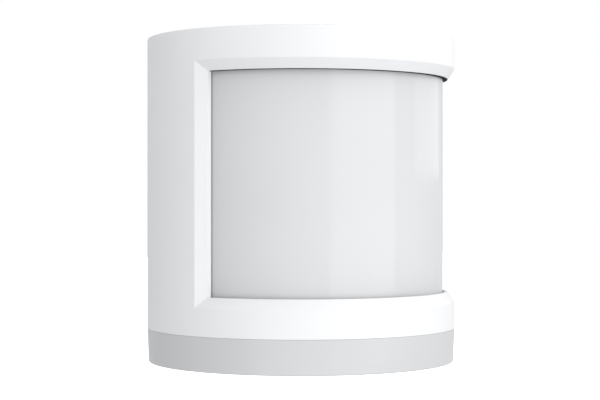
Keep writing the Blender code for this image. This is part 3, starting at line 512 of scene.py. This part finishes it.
# %% [markdown]
# ## The casing
#
# One shell forms the cylinder's wall and its flat top. The window is a hole in it, with a sloping
# bevel all round whose four faces meet in mitred corners. That bevel is the most telling detail of the
# sensor: it catches a different light on each side. Its outer and inner outlines are two loops of
# points, and the faces between them give the slope and the mitres without any further work.


# %% Casing
def window_loop(radius, half_angle, low, high):
    """Round the window once: along the bottom, then back along the top."""
    angles = spread(half_angle, WINDOW_STEPS)
    bottom = [on_arc(radius, angle, low) for angle in angles]
    return bottom + [on_arc(radius, angle, high) for angle in reversed(angles)]


def pierced_wall(net, rows):
    """A wall of four rows whose middle band is open between the window's columns."""
    net.strip(rows[0], rows[1])
    net.strip(rows[2], rows[3])
    edge = SIDE_STEPS + 1
    net.strip(rows[1][:edge], rows[2][:edge])
    net.strip(rows[1][-edge:], rows[2][-edge:])


def casing():
    net = Net()
    outer_angle = WINDOW_HALF_ANGLE + BEVEL_SIDE / BODY_RADIUS
    low, high = WINDOW_LOW - BEVEL_RIM, WINDOW_HIGH + BEVEL_RIM
    shoulder = BODY_TOP - RIM_ROUND
    outer = [d_row(0, outer_angle, height) for height in (CASING_LOW, low, high, shoulder)]
    inner_end = math.acos(-BACK_FLAT / INNER_RADIUS)
    jamb_angle = WINDOW_HALF_ANGLE - JAMB_DRAFT
    inner_angles = columns(inner_end, jamb_angle)
    heights = (CASING_LOW, WINDOW_LOW, WINDOW_HIGH, CEILING)
    inner = [[on_arc(INNER_RADIUS, angle, height) for angle in inner_angles] for height in heights]
    pierced_wall(net, outer)
    pierced_wall(net, inner)
    loops = [
        window_loop(BODY_RADIUS, outer_angle, low, high),
        window_loop(BODY_RADIUS - BEVEL_DEPTH, WINDOW_HALF_ANGLE, WINDOW_LOW, WINDOW_HIGH),
        window_loop(INNER_RADIUS, jamb_angle, WINDOW_LOW, WINDOW_HIGH),
    ]
    net.strip(loops[0], loops[1], closed=True)
    net.strip(loops[1], loops[2], closed=True)
    net.strip(outer[0], inner[0])
    for end in (0, -1):
        net.strip([row[end] for row in outer], [row[end] for row in inner])
    net.face([outer[3][0], inner[3][0], inner[3][-1], outer[3][-1]])
    rim = [d_row(inset, outer_angle, shoulder + rise) for inset, rise in rounding(RIM_ROUND)]
    for one, other in zip(rim, rim[1:]):
        net.strip(one, other, closed=True)
    net.face(rim[-1])
    net.face(inner[3])
    made = soften(thing("casing", net.mesh("casing", crisp_seam)))
    return dress(made, HOUSING_WHITE, "detector", ["front_housing"])


casing()

# %% [markdown]
# ## The lens
#
# The lens is one bent sheet that lies behind the window and reaches a little way past its edges, where
# a gasket presses it home. It is knitted as a closed sheet with a real thickness, because a single
# surface would have no inside.


# %% Lens
def bent(name, profile, half_angle, steps=120):
    """A closed piece with one profile of (radius, height) all round the front."""
    net = Net()
    angles = spread(half_angle, steps)
    net.loft([[on_arc(radius, angle, height) for radius, height in profile] for angle in angles])
    return thing(name, net.mesh(name))


def oblong(inner, outer, low, high):
    """The profile of a bent sheet."""
    return [(inner, low), (outer, low), (outer, high), (inner, high)]


def lens():
    profile = oblong(LENS_RADIUS - LENS_THICKNESS, LENS_RADIUS, lens_low.z, lens_high.z)
    made = soften(bent("window_lens", profile, LENS_HALF_ANGLE), width=0.0001, segments=2)
    return dress(made, LENS_MILKY_WITH_PAINTED_SHADE, "detector", ["lens"])


lens()

# %% [markdown]
# ## The dark line above the lens, a painted shadow
#
# A strip of black foam in the slot between the lens and the window's upper edge is painted shadow: a
# dark piece put where the slot lies only in shade. Only its thin front edge and its underside show, as
# a dark line that widens into a wedge where the window turns out of sight.

# %% Foam strip as painted shadow
SHADOW_STRIP_THICKNESS = 0.00008
SHADOW_STRIP_FROM_LENS = 0.00003
SHADOW_STRIP_FROM_BEVEL = 0.00010


# painted shadow: a black foam strip along the window's top edge, where there is only shade
def window_painted_shadow_strip():
    radii = (LENS_RADIUS + SHADOW_STRIP_FROM_LENS, BODY_RADIUS - BEVEL_DEPTH - SHADOW_STRIP_FROM_BEVEL)
    profile = oblong(*radii, WINDOW_HIGH - SHADOW_STRIP_THICKNESS, WINDOW_HIGH - WELD)
    made = bent("window_painted_shadow_strip", profile, WINDOW_HALF_ANGLE - JAMB_DRAFT)
    return dress(made, GASKET_FOAM_AND_PAINTED_SHADOW, "detector")


window_painted_shadow_strip()

# %% [markdown]
# ## The base cap
#
# The grey cap closes the battery bay. Its wall narrows a little towards the foot, where the edge is
# rounded, and inside it stands a thin lip that snaps into the casing. Wall and lip have different
# outlines, so they are two nets joined by a Boolean: the lip's edges are hidden while the cap is on.

# %% Base cap
CAP_TAPER = 0.0003
LIP_THICKNESS = 0.0015
LIP_HALF_ANGLE = math.radians(64)
CAP_RIB_HEIGHT = 0.0006
CAP_EDGE = 0.0002


def cap_shell():
    """A tray with the casing's outline."""
    net = Net()
    outside = [(CAP_TAPER + inset, RIM_ROUND - rise) for inset, rise in reversed(rounding(RIM_ROUND))]
    rows = [d_row(inset, LIP_HALF_ANGLE, height) for inset, height in outside + [(0, CAP_TOP)]]
    rows += [d_row(WALL, LIP_HALF_ANGLE, height) for height in (CAP_TOP, WALL)]
    net.loft(rows)
    return settle(soften(thing("cap_shell", net.mesh("cap_shell", crisp_seam)), width=CAP_EDGE))


def cap_lip():
    """The upright lip, with a foot that reaches into the wall."""
    outer = LENS_RADIUS
    inner = outer - LIP_THICKNESS
    root = BODY_RADIUS - WALL / 2
    shoulder = CAP_TOP - LIP_THICKNESS
    profile = [(inner, WALL / 2), (root, WALL / 2), (root, shoulder), (outer, shoulder)]
    profile += [(outer, cap_high.z), (inner, cap_high.z)]
    return settle(soften(bent("cap_lip", profile, LIP_HALF_ANGLE, steps=100), width=CAP_EDGE))


def block(name, x, y, z):
    """A box between three (low, high) pairs."""
    net = Net()
    corners = [(x[0], y[0]), (x[1], y[0]), (x[1], y[1]), (x[0], y[1])]
    net.loft([[Vector((across, deep, height)) for across, deep in corners] for height in z])
    return thing(name, net.mesh(name))


def both(low, high):
    """The same span on the left and on the right."""
    return ((-high, -low), (low, high))


def base_cap():
    cell_low, cell_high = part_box("battery")
    quarter = (cell_high.x - cell_low.x) / 4
    depth = (cell_low.y, cell_high.y)
    height = (WALL / 2, WALL + CAP_RIB_HEIGHT)
    ribs = [block("cap_rib", span, depth, height) for span in both(quarter, quarter + LIP_THICKNESS)]
    made = combine(cap_shell(), "UNION", [cap_lip(), *ribs])
    made.name = "foot_cap"
    return dress(made, CAP_GREY, "base", ["base_cap"])


base_cap()

# %% [markdown]
# ## Turned pieces
#
# Screws, posts, bosses, the cell and the tools that cut round holes are all bodies of revolution. A
# Screw modifier could spin their profiles, but a net of rings is as short and keeps the closed ends.
# Each profile is a list of (radius, distance) pairs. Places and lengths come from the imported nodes.

# %% Turning
ROUND_STEPS = 56
TURNS = {
    "-X": Matrix.Rotation(-math.pi / 2, 4, "Y"),
    "Y": Matrix.Rotation(-math.pi / 2, 4, "X"),
    "-Y": Matrix.Rotation(math.pi / 2, 4, "X"),
    "Z": Matrix(),
    "-Z": Matrix.Rotation(math.pi, 4, "X"),
}


def rings(profile, place, axis, steps):
    """A ring of points about an axis for each (radius, distance along the axis)."""
    turns = [2 * math.pi * i / steps for i in range(steps)]
    move = Matrix.Translation(place) @ TURNS[axis]
    return [
        [move @ Vector((radius * math.cos(turn), radius * math.sin(turn), along)) for turn in turns]
        for radius, along in profile
    ]


def turned(name, profile, place, axis, steps=ROUND_STEPS):
    """A solid turned about an axis, with a flat face at both ends of its profile."""
    net = Net()
    net.loft(rings(profile, place, axis, steps))
    return thing(name, net.mesh(name))


def middle_of(node):
    low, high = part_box(node)
    return (low + high) / 2, high - low


print("ready to turn, with", ROUND_STEPS, "flats a round")

# %% [markdown]
# ## The rear cover
#
# The flat back is a separate moulding, held by four recessed screws. It has four slots for the
# bracket's hooks and a hole for the tamper plunger. These are openings in a flat plate, so here a
# Boolean is the clean way: flat faces stay flat, and the Bevel rolls over every rim afterwards.

# %% Rear cover
SCREW_HEAD_RADIUS = 0.0019
PLUNGER_RADIUS = 0.0015
HOOK_OFFSET = 0.0140
HOOK_HALF_WIDTH = 0.0026
HOOK_STUB = 0.0025
HOOK_TAB = 0.0050
HOOK_HEIGHTS = (0.0320, 0.0580)
LIFT = 0.0080  # how far the detector rises to come off the hooks
SCREW_HEAD_HEIGHT = 0.0013
SCREW_RADIUS = 0.0010
screws = sorted(node for node in frame["nodes"] if "screw" in node)
cover_screws = [node for node in screws if node.startswith("cover")]


def rounded_block(name, x, z, y, corner, steps=6):
    """A block through y whose outline in x and z has round corners."""
    outline = []
    centres = (
        (x[1] - corner, z[1] - corner, 0),
        (x[0] + corner, z[1] - corner, 90),
        (x[0] + corner, z[0] + corner, 180),
        (x[1] - corner, z[0] + corner, 270),
    )
    for across, up, start in centres:
        for i in range(steps + 1):
            turn = math.radians(start + 90 * i / steps)
            outline.append((across + corner * math.cos(turn), up + corner * math.sin(turn)))
    net = Net()
    net.loft([[Vector((across, deep, up)) for across, up in outline] for deep in y])
    return thing(name, net.mesh(name))


def rear_cover():
    spans = ((cover_low.x, cover_high.x), (CASING_LOW, cover_high.z))
    cover = rounded_block("rear_panel", *spans, (COVER_FRONT, BACK_FLAT), corner=0.0004)
    cutters = []
    for node in cover_screws:
        middle, _ = middle_of(node)
        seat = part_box(node)[1].y - SCREW_HEAD_HEIGHT - GAP
        profile = [(SCREW_HEAD_RADIUS + GAP, seat), (SCREW_HEAD_RADIUS + GAP, BACK_FLAT + WALL)]
        cutters.append(turned("recess", profile, (middle.x, 0, middle.z), "Y"))
        profile = [(SCREW_RADIUS + GAP, COVER_FRONT - WALL), (SCREW_RADIUS + GAP, BACK_FLAT)]
        cutters.append(turned("shank_hole", profile, (middle.x, 0, middle.z), "Y", steps=32))
    profile = [(PLUNGER_RADIUS + GAP, COVER_FRONT - WALL), (PLUNGER_RADIUS + GAP, BACK_FLAT + WALL)]
    cutters.append(turned("plunger_hole", profile, (0, 0, WINDOW_MIDDLE), "Y"))
    for hook in HOOK_HEIGHTS:
        for span in both(HOOK_OFFSET - HOOK_HALF_WIDTH - GAP, HOOK_OFFSET + HOOK_HALF_WIDTH + GAP):
            tall = (hook - LIFT - GAP, hook + HOOK_STUB + GAP)
            deep = (COVER_FRONT - WALL, BACK_FLAT + WALL)
            cutters.append(rounded_block("slot", span, tall, deep, corner=0.0005))
    combine(cover, "DIFFERENCE", cutters)
    soften(cover, width=0.00012, segments=2)
    return dress(cover, HOUSING_WHITE, "detector", ["rear_cover"])


rear_cover()

# %% [markdown]
# Behind the panel stand the guide of the plunger and two posts that press the board home. They are
# part of the same moulding, but nothing is gained by another Boolean where nobody sees the joint.

# %% Plunger guide and board posts
PLUNGER_COLLARS = 0.0020  # the length of the plunger's foot and collar
TAMPER_TRAVEL = LIFT * frame["record"]["behaviour"]["couplings"][0]["ratio"]
GUIDE_HALF_WIDTH = 0.0040
POST_RADIUS = 0.0024
POST_CHAMFER = 0.0002


def guide_and_posts():
    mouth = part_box("tamper_plunger")[0].y + PLUNGER_COLLARS + TAMPER_TRAVEL + GAP
    wide = (-GUIDE_HALF_WIDTH, GUIDE_HALF_WIDTH)
    tall = (WINDOW_MIDDLE - GUIDE_HALF_WIDTH, WINDOW_MIDDLE + GUIDE_HALF_WIDTH)
    guide = rounded_block("plunger_guide", wide, tall, (mouth, COVER_FRONT), corner=0.0006)
    profile = [(PLUNGER_RADIUS + GAP, 0), (PLUNGER_RADIUS + GAP, BACK_FLAT)]
    combine(guide, "DIFFERENCE", [turned("guide_bore", profile, (0, 0, WINDOW_MIDDLE), "Y")])
    soften(guide)
    dress(guide, HOUSING_WHITE, "detector")
    for i, node in enumerate(("board_screw_1", "board_screw_3")):
        middle, _ = middle_of(node)
        profile = [(POST_RADIUS - POST_CHAMFER, cover_low.y), (POST_RADIUS, cover_low.y + POST_CHAMFER)]
        profile.append((POST_RADIUS, COVER_FRONT))
        post = turned(f"board_post_{i + 1}", profile, (0, 0, middle.z), "Y")
        dress(soften(post), HOUSING_WHITE, "detector")


guide_and_posts()

# %% [markdown]
# ## Screw seats inside the casing
#
# The casing has a boss behind each screw of the cover, tied to the nearest wall by a rib, and a ledge
# under each ear of the battery tray. They could be cut and joined into the casing's own mesh. Kept as
# pieces of the same finish that reach into its wall, they leave the clean faces round the window alone.

# %% Bosses and ledges
BOSS_RADIUS = 0.0028
TRAY_WALL = 0.0014
TRAY_PLATE = 0.0016
TRAY_EAR = 0.0050


def wall_block(name, side, start, y, z, steps=10):
    """A block from x = start out into the casing's wall, whose curve it follows."""
    reach = BODY_RADIUS - WALL / 2
    deep = [y[0] + (y[1] - y[0]) * i / steps for i in range(steps + 1)]
    outline = [(side * math.sqrt(reach**2 - at**2), at) for at in deep]
    outline += [(side * start, y[1]), (side * start, y[0])]
    net = Net()
    net.loft([[Vector((across, at, height)) for across, at in outline] for height in z])
    return thing(name, net.mesh(name))


def cover_bosses():
    deep = (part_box("battery")[1].y + TRAY_WALL + 2 * GAP, COVER_FRONT - GAP)
    for i, node in enumerate(cover_screws):
        middle, _ = middle_of(node)
        place = (middle.x, 0, middle.z)
        boss = turned(f"cover_boss_{i + 1}", [(BOSS_RADIUS, deep[0]), (BOSS_RADIUS, deep[1])], place, "Y")
        if middle.z > WINDOW_MIDDLE:
            span = (middle.x - BOSS_RADIUS, middle.x + BOSS_RADIUS)
            rib = block("rib", span, deep, (middle.z, BODY_TOP - WALL / 2))
        else:
            tall = (middle.z - BOSS_RADIUS / 2, middle.z + BOSS_RADIUS / 2)
            rib = wall_block("rib", math.copysign(1, middle.x), abs(middle.x), deep, tall)
        combine(boss, "UNION", [rib])
        bore = [(SCREW_RADIUS + GAP, deep[0] + SCREW_RADIUS), (SCREW_RADIUS + GAP, BACK_FLAT)]
        combine(boss, "DIFFERENCE", [turned("bore", bore, place, "Y", steps=32)])
        dress(soften(boss), HOUSING_WHITE, "detector")


def tray_ledges():
    tray_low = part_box("battery_tray")[1].z - TRAY_PLATE
    for i, node in enumerate(("tray_screw_1", "tray_screw_2")):
        middle, _ = middle_of(node)
        deep = (middle.y - TRAY_EAR / 2, middle.y + TRAY_EAR / 2)
        tall = (WINDOW_LOW - RIM_ROUND, tray_low - GAP)
        side = math.copysign(1, middle.x)
        ledge = wall_block(f"tray_ledge_{i + 1}", side, abs(middle.x) - BOSS_RADIUS, deep, tall)
        bore = [(SCREW_RADIUS + GAP, tray_low - BOSS_RADIUS), (SCREW_RADIUS + GAP, tray_low)]
        combine(ledge, "DIFFERENCE", [turned("bore", bore, (middle.x, middle.y, 0), "Z", steps=32)])
        dress(soften(ledge), HOUSING_WHITE, "detector")


cover_bosses()
tray_ledges()

# %% [markdown]
# ## The wall bracket
#
# The bracket is screwed to the wall, and the detector hangs on its four hooks. It is a plain plate with
# two round corners, shallow pockets at the back that save material, and countersunk screw holes. A
# groove that deepens upwards pushes the tamper plunger in when the detector is hooked on.

# %% Bracket
BRACKET_CORNER = 0.0060
CORNER_STEPS = 16
BRACKET_BORDER = 0.0040
BRACKET_CENTRE_STRIP = 0.0060
POCKET_DEPTH = 0.0008
HOOK_TAB_THICKNESS = 0.0018
WALL_SCREW_RADIUS = 0.0021
WALL_SCREW_HEAD_RADIUS = 0.0040
PLATE_FRONT = BACK_FLAT + GAP


def bracket_plate():
    low, high = bracket_low.z, bracket_high.z
    x = (bracket_low.x, bracket_high.x)
    outline = [(x[1], low)]
    for start, across in ((0, x[1] - BRACKET_CORNER), (90, x[0] + BRACKET_CORNER)):
        for i in range(CORNER_STEPS + 1):
            turn = math.radians(start + 90 * i / CORNER_STEPS)
            point = (across + BRACKET_CORNER * math.cos(turn), high - BRACKET_CORNER * (1 - math.sin(turn)))
            outline.append(point)
    outline.append((x[0], low))
    net = Net()
    deep = (PLATE_FRONT, bracket_high.y)
    net.loft([[Vector((across, y, up)) for across, up in outline] for y in deep])
    return thing("hanging_plate", net.mesh("hanging_plate"))


def hooks():
    """Two strokes each: a stub through the slot and a tab that rises behind the cover."""
    back = COVER_FRONT - GAP
    tab = (back - HOOK_TAB_THICKNESS, back)
    made = []
    for hook in HOOK_HEIGHTS:
        for span in both(HOOK_OFFSET - HOOK_HALF_WIDTH, HOOK_OFFSET + HOOK_HALF_WIDTH):
            stub = block("hook", span, (tab[0], PLATE_FRONT + POCKET_DEPTH), (hook, hook + HOOK_STUB))
            rise = block("tab", span, tab, (hook + HOOK_STUB / 2, hook + HOOK_STUB + HOOK_TAB))
            made.append(combine(stub, "UNION", [rise]))
    return made


def wall_screw_holes():
    quarter = (WINDOW_HIGH - WINDOW_LOW) / 4
    places = [(0, WINDOW_HIGH - BRACKET_BORDER), (0, WINDOW_LOW)]
    places += [(side * HOOK_OFFSET, WINDOW_MIDDLE + quarter / 2) for side in (-1, 1)]
    thickness = bracket_high.y - PLATE_FRONT
    profile = [
        (WALL_SCREW_HEAD_RADIUS + GAP, PLATE_FRONT - GAP),
        (WALL_SCREW_RADIUS, PLATE_FRONT + thickness / 3),
        (WALL_SCREW_RADIUS, bracket_high.y + WALL),
    ]
    return [turned("wall_screw_hole", profile, (x, 0, height), "Y") for x, height in places]


def plunger_groove():
    """Deeper towards the top, so that the plunger comes out as the detector lifts."""
    slope = TAMPER_TRAVEL / LIFT
    low = WINDOW_MIDDLE - PLUNGER_RADIUS
    high = WINDOW_MIDDLE + PLUNGER_RADIUS + LIFT + GAP
    corners = [
        (PLATE_FRONT - GAP, low - GAP / slope),
        (PLATE_FRONT - GAP, high),
        (PLATE_FRONT + slope * (high - low), high),
    ]
    half = PLUNGER_RADIUS + GAP
    net = Net()
    net.loft([[Vector((x, y, z)) for y, z in corners] for x in (-half, half)])
    return thing("groove", net.mesh("groove"))


def wall_bracket():
    deep = (bracket_high.y - POCKET_DEPTH, bracket_high.y + WALL)
    tall = (BRACKET_BORDER, bracket_high.z - BRACKET_CORNER)
    sides = both(BRACKET_CENTRE_STRIP, bracket_high.x - BRACKET_BORDER)
    pockets = [rounded_block("pocket", span, tall, deep, corner=0.0015) for span in sides]
    plate = combine(bracket_plate(), "UNION", hooks())
    combine(plate, "DIFFERENCE", [*pockets, *wall_screw_holes(), plunger_groove()])
    soften(plate, width=0.00018)
    return dress(plate, BRACKET_WHITE, "bracket", ["wall_bracket"])


wall_bracket()

# %% [markdown]
# ## Screws
#
# Ten small pan-head screws hold the cover, the board and the tray. All of them are one profile with a
# cross recess, so one function makes them at the place and in the direction of their nodes. The thread
# is below what the eye can see at this size, but a fine ripple along the shank is cheap and reads well.

# %% Screws
THREAD_PITCH = 0.0005
THREAD_ROOT = SCREW_RADIUS * 0.8
TIP_RADIUS = SCREW_RADIUS * 0.3
CROWN_STEPS = 6
CROWN_FULLNESS = 0.6  # the smaller, the flatter the top of the head
CROWN_TOP_RADIUS = 0.0003
HEAD_RIM = 0.25  # share of the head's height that is its upright rim
CROSS_HALF_LENGTH = 0.0012
CROSS_HALF_WIDTH = 0.00022
CROSS_FLOOR = SCREW_HEAD_HEIGHT * 0.45  # what is left of the head under the cross
CROSS_CUT_FROM = 0.0020  # above the head's seat, where the cut starts


def screw_profile(length):
    """From the crown of the head to the tip, in (radius, distance from the seat)."""
    profile = [(CROWN_TOP_RADIUS, -SCREW_HEAD_HEIGHT)]
    for i in range(1, CROWN_STEPS + 1):
        turn = math.pi / 2 * i / CROWN_STEPS
        radius = SCREW_HEAD_RADIUS * math.sin(turn) ** CROWN_FULLNESS
        profile.append((radius, -SCREW_HEAD_HEIGHT * (HEAD_RIM + (1 - HEAD_RIM) * math.cos(turn))))
    profile += [(SCREW_HEAD_RADIUS, 0), (THREAD_ROOT, 0)]
    turns = int((length - SCREW_RADIUS) / THREAD_PITCH)
    for i in range(turns):
        start = THREAD_PITCH * (i + 0.5)
        profile += [(THREAD_ROOT, start), (SCREW_RADIUS, start + THREAD_PITCH / 2)]
    return profile + [(THREAD_ROOT, length - SCREW_RADIUS), (TIP_RADIUS, length)]


def screw(node):
    middle, size = middle_of(node)
    upright = node.startswith("tray")
    axis = "-Z" if upright else "-Y"
    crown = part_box(node)[1].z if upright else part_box(node)[1].y
    length = (size.z if upright else size.y) - SCREW_HEAD_HEIGHT
    seat = crown - SCREW_HEAD_HEIGHT
    place = (middle.x, middle.y, seat) if upright else (middle.x, seat, middle.z)
    made = turned(node + "_fine", screw_profile(length), place, axis, steps=40)
    move = Matrix.Translation(place) @ TURNS[axis]
    bits = []
    arms = (CROSS_HALF_LENGTH, CROSS_HALF_WIDTH)
    for across, deep in (arms, arms[::-1]):
        bit = block("bit", (-across, across), (-deep, deep), (-CROSS_CUT_FROM, -CROSS_FLOOR))
        bit.data.transform(move)
        bits.append(bit)
    combine(made, "DIFFERENCE", bits)
    made.data.set_sharp_from_angle(angle=CREASE)
    return dress(made, SCREW_STEEL, "detector", [node])


for node in screws:
    screw(node)

# %% [markdown]
# ## The cell
#
# The detector runs on one short lithium cell. A shrunk plastic sleeve covers its steel can and is drawn
# over the edges of both ends, so that only the bare ends show. Can and sleeve are two pieces, because
# two real materials overlap there, and their step casts the fine line that a painted ring wouldn't.

# %% Cell
CELL_EDGE = 0.0005
CELL_STEPS = 96
SLEEVE_FILM = 0.00012
SLEEVE_OVER_ENDS = 0.0019
END_DISC_RADIUS = 0.0020
NUB_RADIUS = 0.0032
NUB_HEIGHT = 0.0010
NUB_FLARE = 0.0002
NUB_EDGE = 0.0001


def cell():
    middle, size = middle_of("battery")
    radius, half = size.z / 2, size.x / 2
    shoulder = half - NUB_HEIGHT
    low, high = -half + SLEEVE_FILM, shoulder - SLEEVE_FILM
    turn_in = [(radius - SLEEVE_FILM - inset, rise) for inset, rise in reversed(rounding(CELL_EDGE, 4))]
    can = [(END_DISC_RADIUS, low)]
    can += [(r, low + CELL_EDGE - rise) for r, rise in turn_in]
    can += [(r, high - CELL_EDGE + rise) for r, rise in reversed(turn_in)]
    can += [(NUB_RADIUS + 2 * NUB_FLARE, high), (NUB_RADIUS + NUB_FLARE, shoulder + NUB_EDGE)]
    can += [(NUB_RADIUS, half - NUB_EDGE), (NUB_RADIUS - NUB_FLARE, half)]
    steel = turned("cell_can", can, middle, "-X", steps=CELL_STEPS)
    dress(steel, CAN_METAL, "detector", ["battery"])
    rolled = [(radius - inset, rise) for inset, rise in reversed(rounding(CELL_EDGE, 4))]
    lip = radius - SLEEVE_OVER_ENDS
    skin = [(lip, -half)] + [(r, -half + CELL_EDGE - rise) for r, rise in rolled]
    skin += [(r, shoulder - CELL_EDGE + rise) for r, rise in reversed(rolled)] + [(lip, shoulder)]
    inside = [(lip, high), (radius - SLEEVE_FILM, high - CELL_EDGE / 4)]
    inside += [(radius - SLEEVE_FILM, low + CELL_EDGE / 4), (lip, low)]
    net = Net()
    loop = rings(skin + inside, middle, "-X", CELL_STEPS)
    for one, other in zip(loop, loop[1:] + loop[:1]):
        net.strip(one, other, closed=True)
    sleeve = thing("cell_sleeve_film", net.mesh("cell_sleeve_film"))
    sleeve.data.set_sharp_from_angle(angle=CREASE)
    dress(sleeve, CELL_SLEEVE, "detector")


cell()

# %% [markdown]
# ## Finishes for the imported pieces
#
# The pieces inside have the right shape already, so they stay as packed and only get a better finish.
# Their meshes aren't touched: a Weld modifier joins the separate triangles, and a small Bevel rounds
# their edges as moulding and stamping do.

# %% Inner pieces
KEPT = {  # piece: (its finish, how far its edges are rounded)
    "lens_gasket": (GASKET_FOAM_AND_PAINTED_SHADOW, 0),
    "chassis": (INNER_GREY, 0.00015),
    "battery_tray": (INNER_GREY, 0.00015),
    "contact_positive": (CONTACT_STEEL, 0.00008),
    "contact_negative": (CONTACT_STEEL, 0.00008),
    "main_board": (BOARD_GREEN, 0.00008),
    "pyro_holder": (BLACK_PLASTIC, 0.0001),
    "pyro_sensor": (CAN_METAL, 0.0001),
    "pyro_window": (DARK_FILTER, 0),
    "microcontroller": (BLACK_PLASTIC, 0.0001),
    "crystal": (CAN_METAL, 0.00025),
    "radio_shield": (CAN_METAL, 0.0002),
    "antenna": (CONTACT_STEEL, 0.0001),
    "capacitor_left": (BLACK_PLASTIC, 0.0001),
    "capacitor_right": (BLACK_PLASTIC, 0.0001),
    "status_led": (LED_RESIN, 0),
    "tamper_switch": (BLACK_PLASTIC, 0.00015),
    "tamper_switch_stem": (KEY_WHITE, 0.0001),
    "tamper_plunger": (KEY_WHITE, 0.0001),
    "pairing_switch": (BLACK_PLASTIC, 0.00015),
    "pairing_switch_stem": (KEY_WHITE, 0.0001),
    "pairing_button": (KEY_WHITE, 0.0001),
}

for node, (material, edge) in KEPT.items():
    piece = frame["nodes"][node]
    piece.material_slots[0].material = material
    join = piece.modifiers.new("join", "WELD")
    join.merge_threshold = WELD
    if edge:
        soften(piece, width=edge, segments=2)
print("pieces that stay as packed:", len(KEPT))

# %% [markdown]
# ## Floor, light and camera
#
# The photograph is a catalogue shot: the sensor stands before pure white in a tent of white cloth, which
# glows most in front, above and behind. The floor and the backdrop give off their own light, so no shadow
# falls on them. A bright studio picture could wrap the scene instead, but a few soft glows are enough,
# and they have no edges that the polished lens would mirror.

# %% Camera
CAMERA_AZIMUTH = math.radians(-33.9)
CAMERA_DISTANCE = 0.369
CAMERA_HEIGHT = BODY_TOP / 2 + 0.00005
LENS_MM = 94.0
SENSOR_MM = 36.0
IMAGE_WIDTH = 600
SHIFT_PIXELS = -1.0  # the sensor stands one pixel right of the middle


def camera():
    data = bpy.data.cameras.new("view")
    data.lens = LENS_MM
    data.sensor_width = SENSOR_MM
    data.shift_x = SHIFT_PIXELS / IMAGE_WIDTH
    data.clip_start = 0.01
    made = bpy.data.objects.new("view", data)
    made.location = on_arc(CAMERA_DISTANCE, CAMERA_AZIMUTH, CAMERA_HEIGHT)
    made.rotation_euler = (math.pi / 2, 0, CAMERA_AZIMUTH)
    bpy.context.scene.collection.objects.link(made)
    bpy.context.scene.camera = made
    bpy.context.scene.view_settings.view_transform = "Standard"


camera()
print("camera at", [round(part, 3) for part in bpy.context.scene.camera.location])

# %% Floor and surroundings
PAPER = 1.0  # brightness of the white floor
BACKDROP = 1.02 * PAPER  # and of the white behind
DAYLIGHT = tint(0.985, 0.992, 1.0)
FLOOR_REACH = 0.6
ROOM = 0.40  # brightness of the tent all round
FORWARD = on_arc(1, CAMERA_AZIMUTH, 0)
GLOWS = ((FORWARD, 0.43), (-FORWARD, 0.41), (Vector((0, 0, 1)), 0.19))  # what it glows more, and where


def world():
    made = bpy.data.worlds.new("studio")
    graph = Graph(made)
    towards = graph.node("ShaderNodeTexCoord", out="Generated")
    light = ROOM
    for middle, glow in GLOWS:
        dot = {"operation": "DOT_PRODUCT"}
        facing = graph.node("ShaderNodeVectorMath", dot, {0: towards, 1: middle}, out="Value")
        near = graph.maths("MAXIMUM", facing, 0.0)
        light = near * near * glow + light
    seen = graph.node("ShaderNodeLightPath", out="Is Camera Ray")
    strength = light + seen * (BACKDROP - light)
    background = graph.tree.nodes["Background"]
    graph.plug(background, {"Color": DAYLIGHT, "Strength": strength})
    bpy.context.scene.world = made


def floor():
    net = Net()
    corners = ((-1, -1), (1, -1), (1, 1), (-1, 1))
    net.face([Vector((x * FLOOR_REACH, y * FLOOR_REACH, 0)) for x, y in corners])
    made = thing("paper_floor", net.mesh("paper_floor"))
    paper = Finish("paper")
    paper.wear(Base_Color=tint(1, 1, 1), Emission_Color=tint(1, 1, 1), Emission_Strength=PAPER)
    made.data.materials.append(paper.material)
    made.visible_diffuse = False
    made.visible_glossy = False
    made.visible_shadow = False


world()
floor()
print("room", ROOM, "paper", PAPER)

# %% [markdown]
# Five soft boxes shape the sensor. The key on the right leaves the tall bright band in the lens, and
# one behind it brightens the rim. Two hang high on both sides, and one lies below for the light that a
# white table throws back up. Fewer lamps with sharper shadows would do, but the bevel would lose its
# steps.


# %% Soft boxes
def soft_box(name, azimuth, distance, width, low, high, radiance):
    """An upright soft box. Its azimuth is seen from the camera, and its radiance is what a mirror shows."""
    data = bpy.data.lights.new(name, "AREA")
    data.shape = "RECTANGLE"
    data.size = width
    data.size_y = high - low
    data.energy = radiance * math.pi * width * (high - low)
    made = bpy.data.objects.new(name, data)
    angle = CAMERA_AZIMUTH + math.radians(azimuth)
    made.location = on_arc(distance, angle, (low + high) / 2)
    made.rotation_euler = (math.pi / 2, 0, angle)
    bpy.context.scene.collection.objects.link(made)


soft_box("key", azimuth=50, distance=0.60, width=0.62, low=-0.10, high=0.80, radiance=0.90)
soft_box("rim", azimuth=122, distance=0.60, width=0.47, low=0.052, high=0.70, radiance=0.50)
soft_box("high_right", azimuth=80, distance=0.90, width=0.70, low=0.30, high=1.20, radiance=2.50)
soft_box("high_left", azimuth=-60, distance=0.90, width=0.70, low=0.30, high=1.20, radiance=1.55)
soft_box("table", azimuth=15, distance=0.60, width=1.40, low=-0.90, high=-0.12, radiance=1.04)
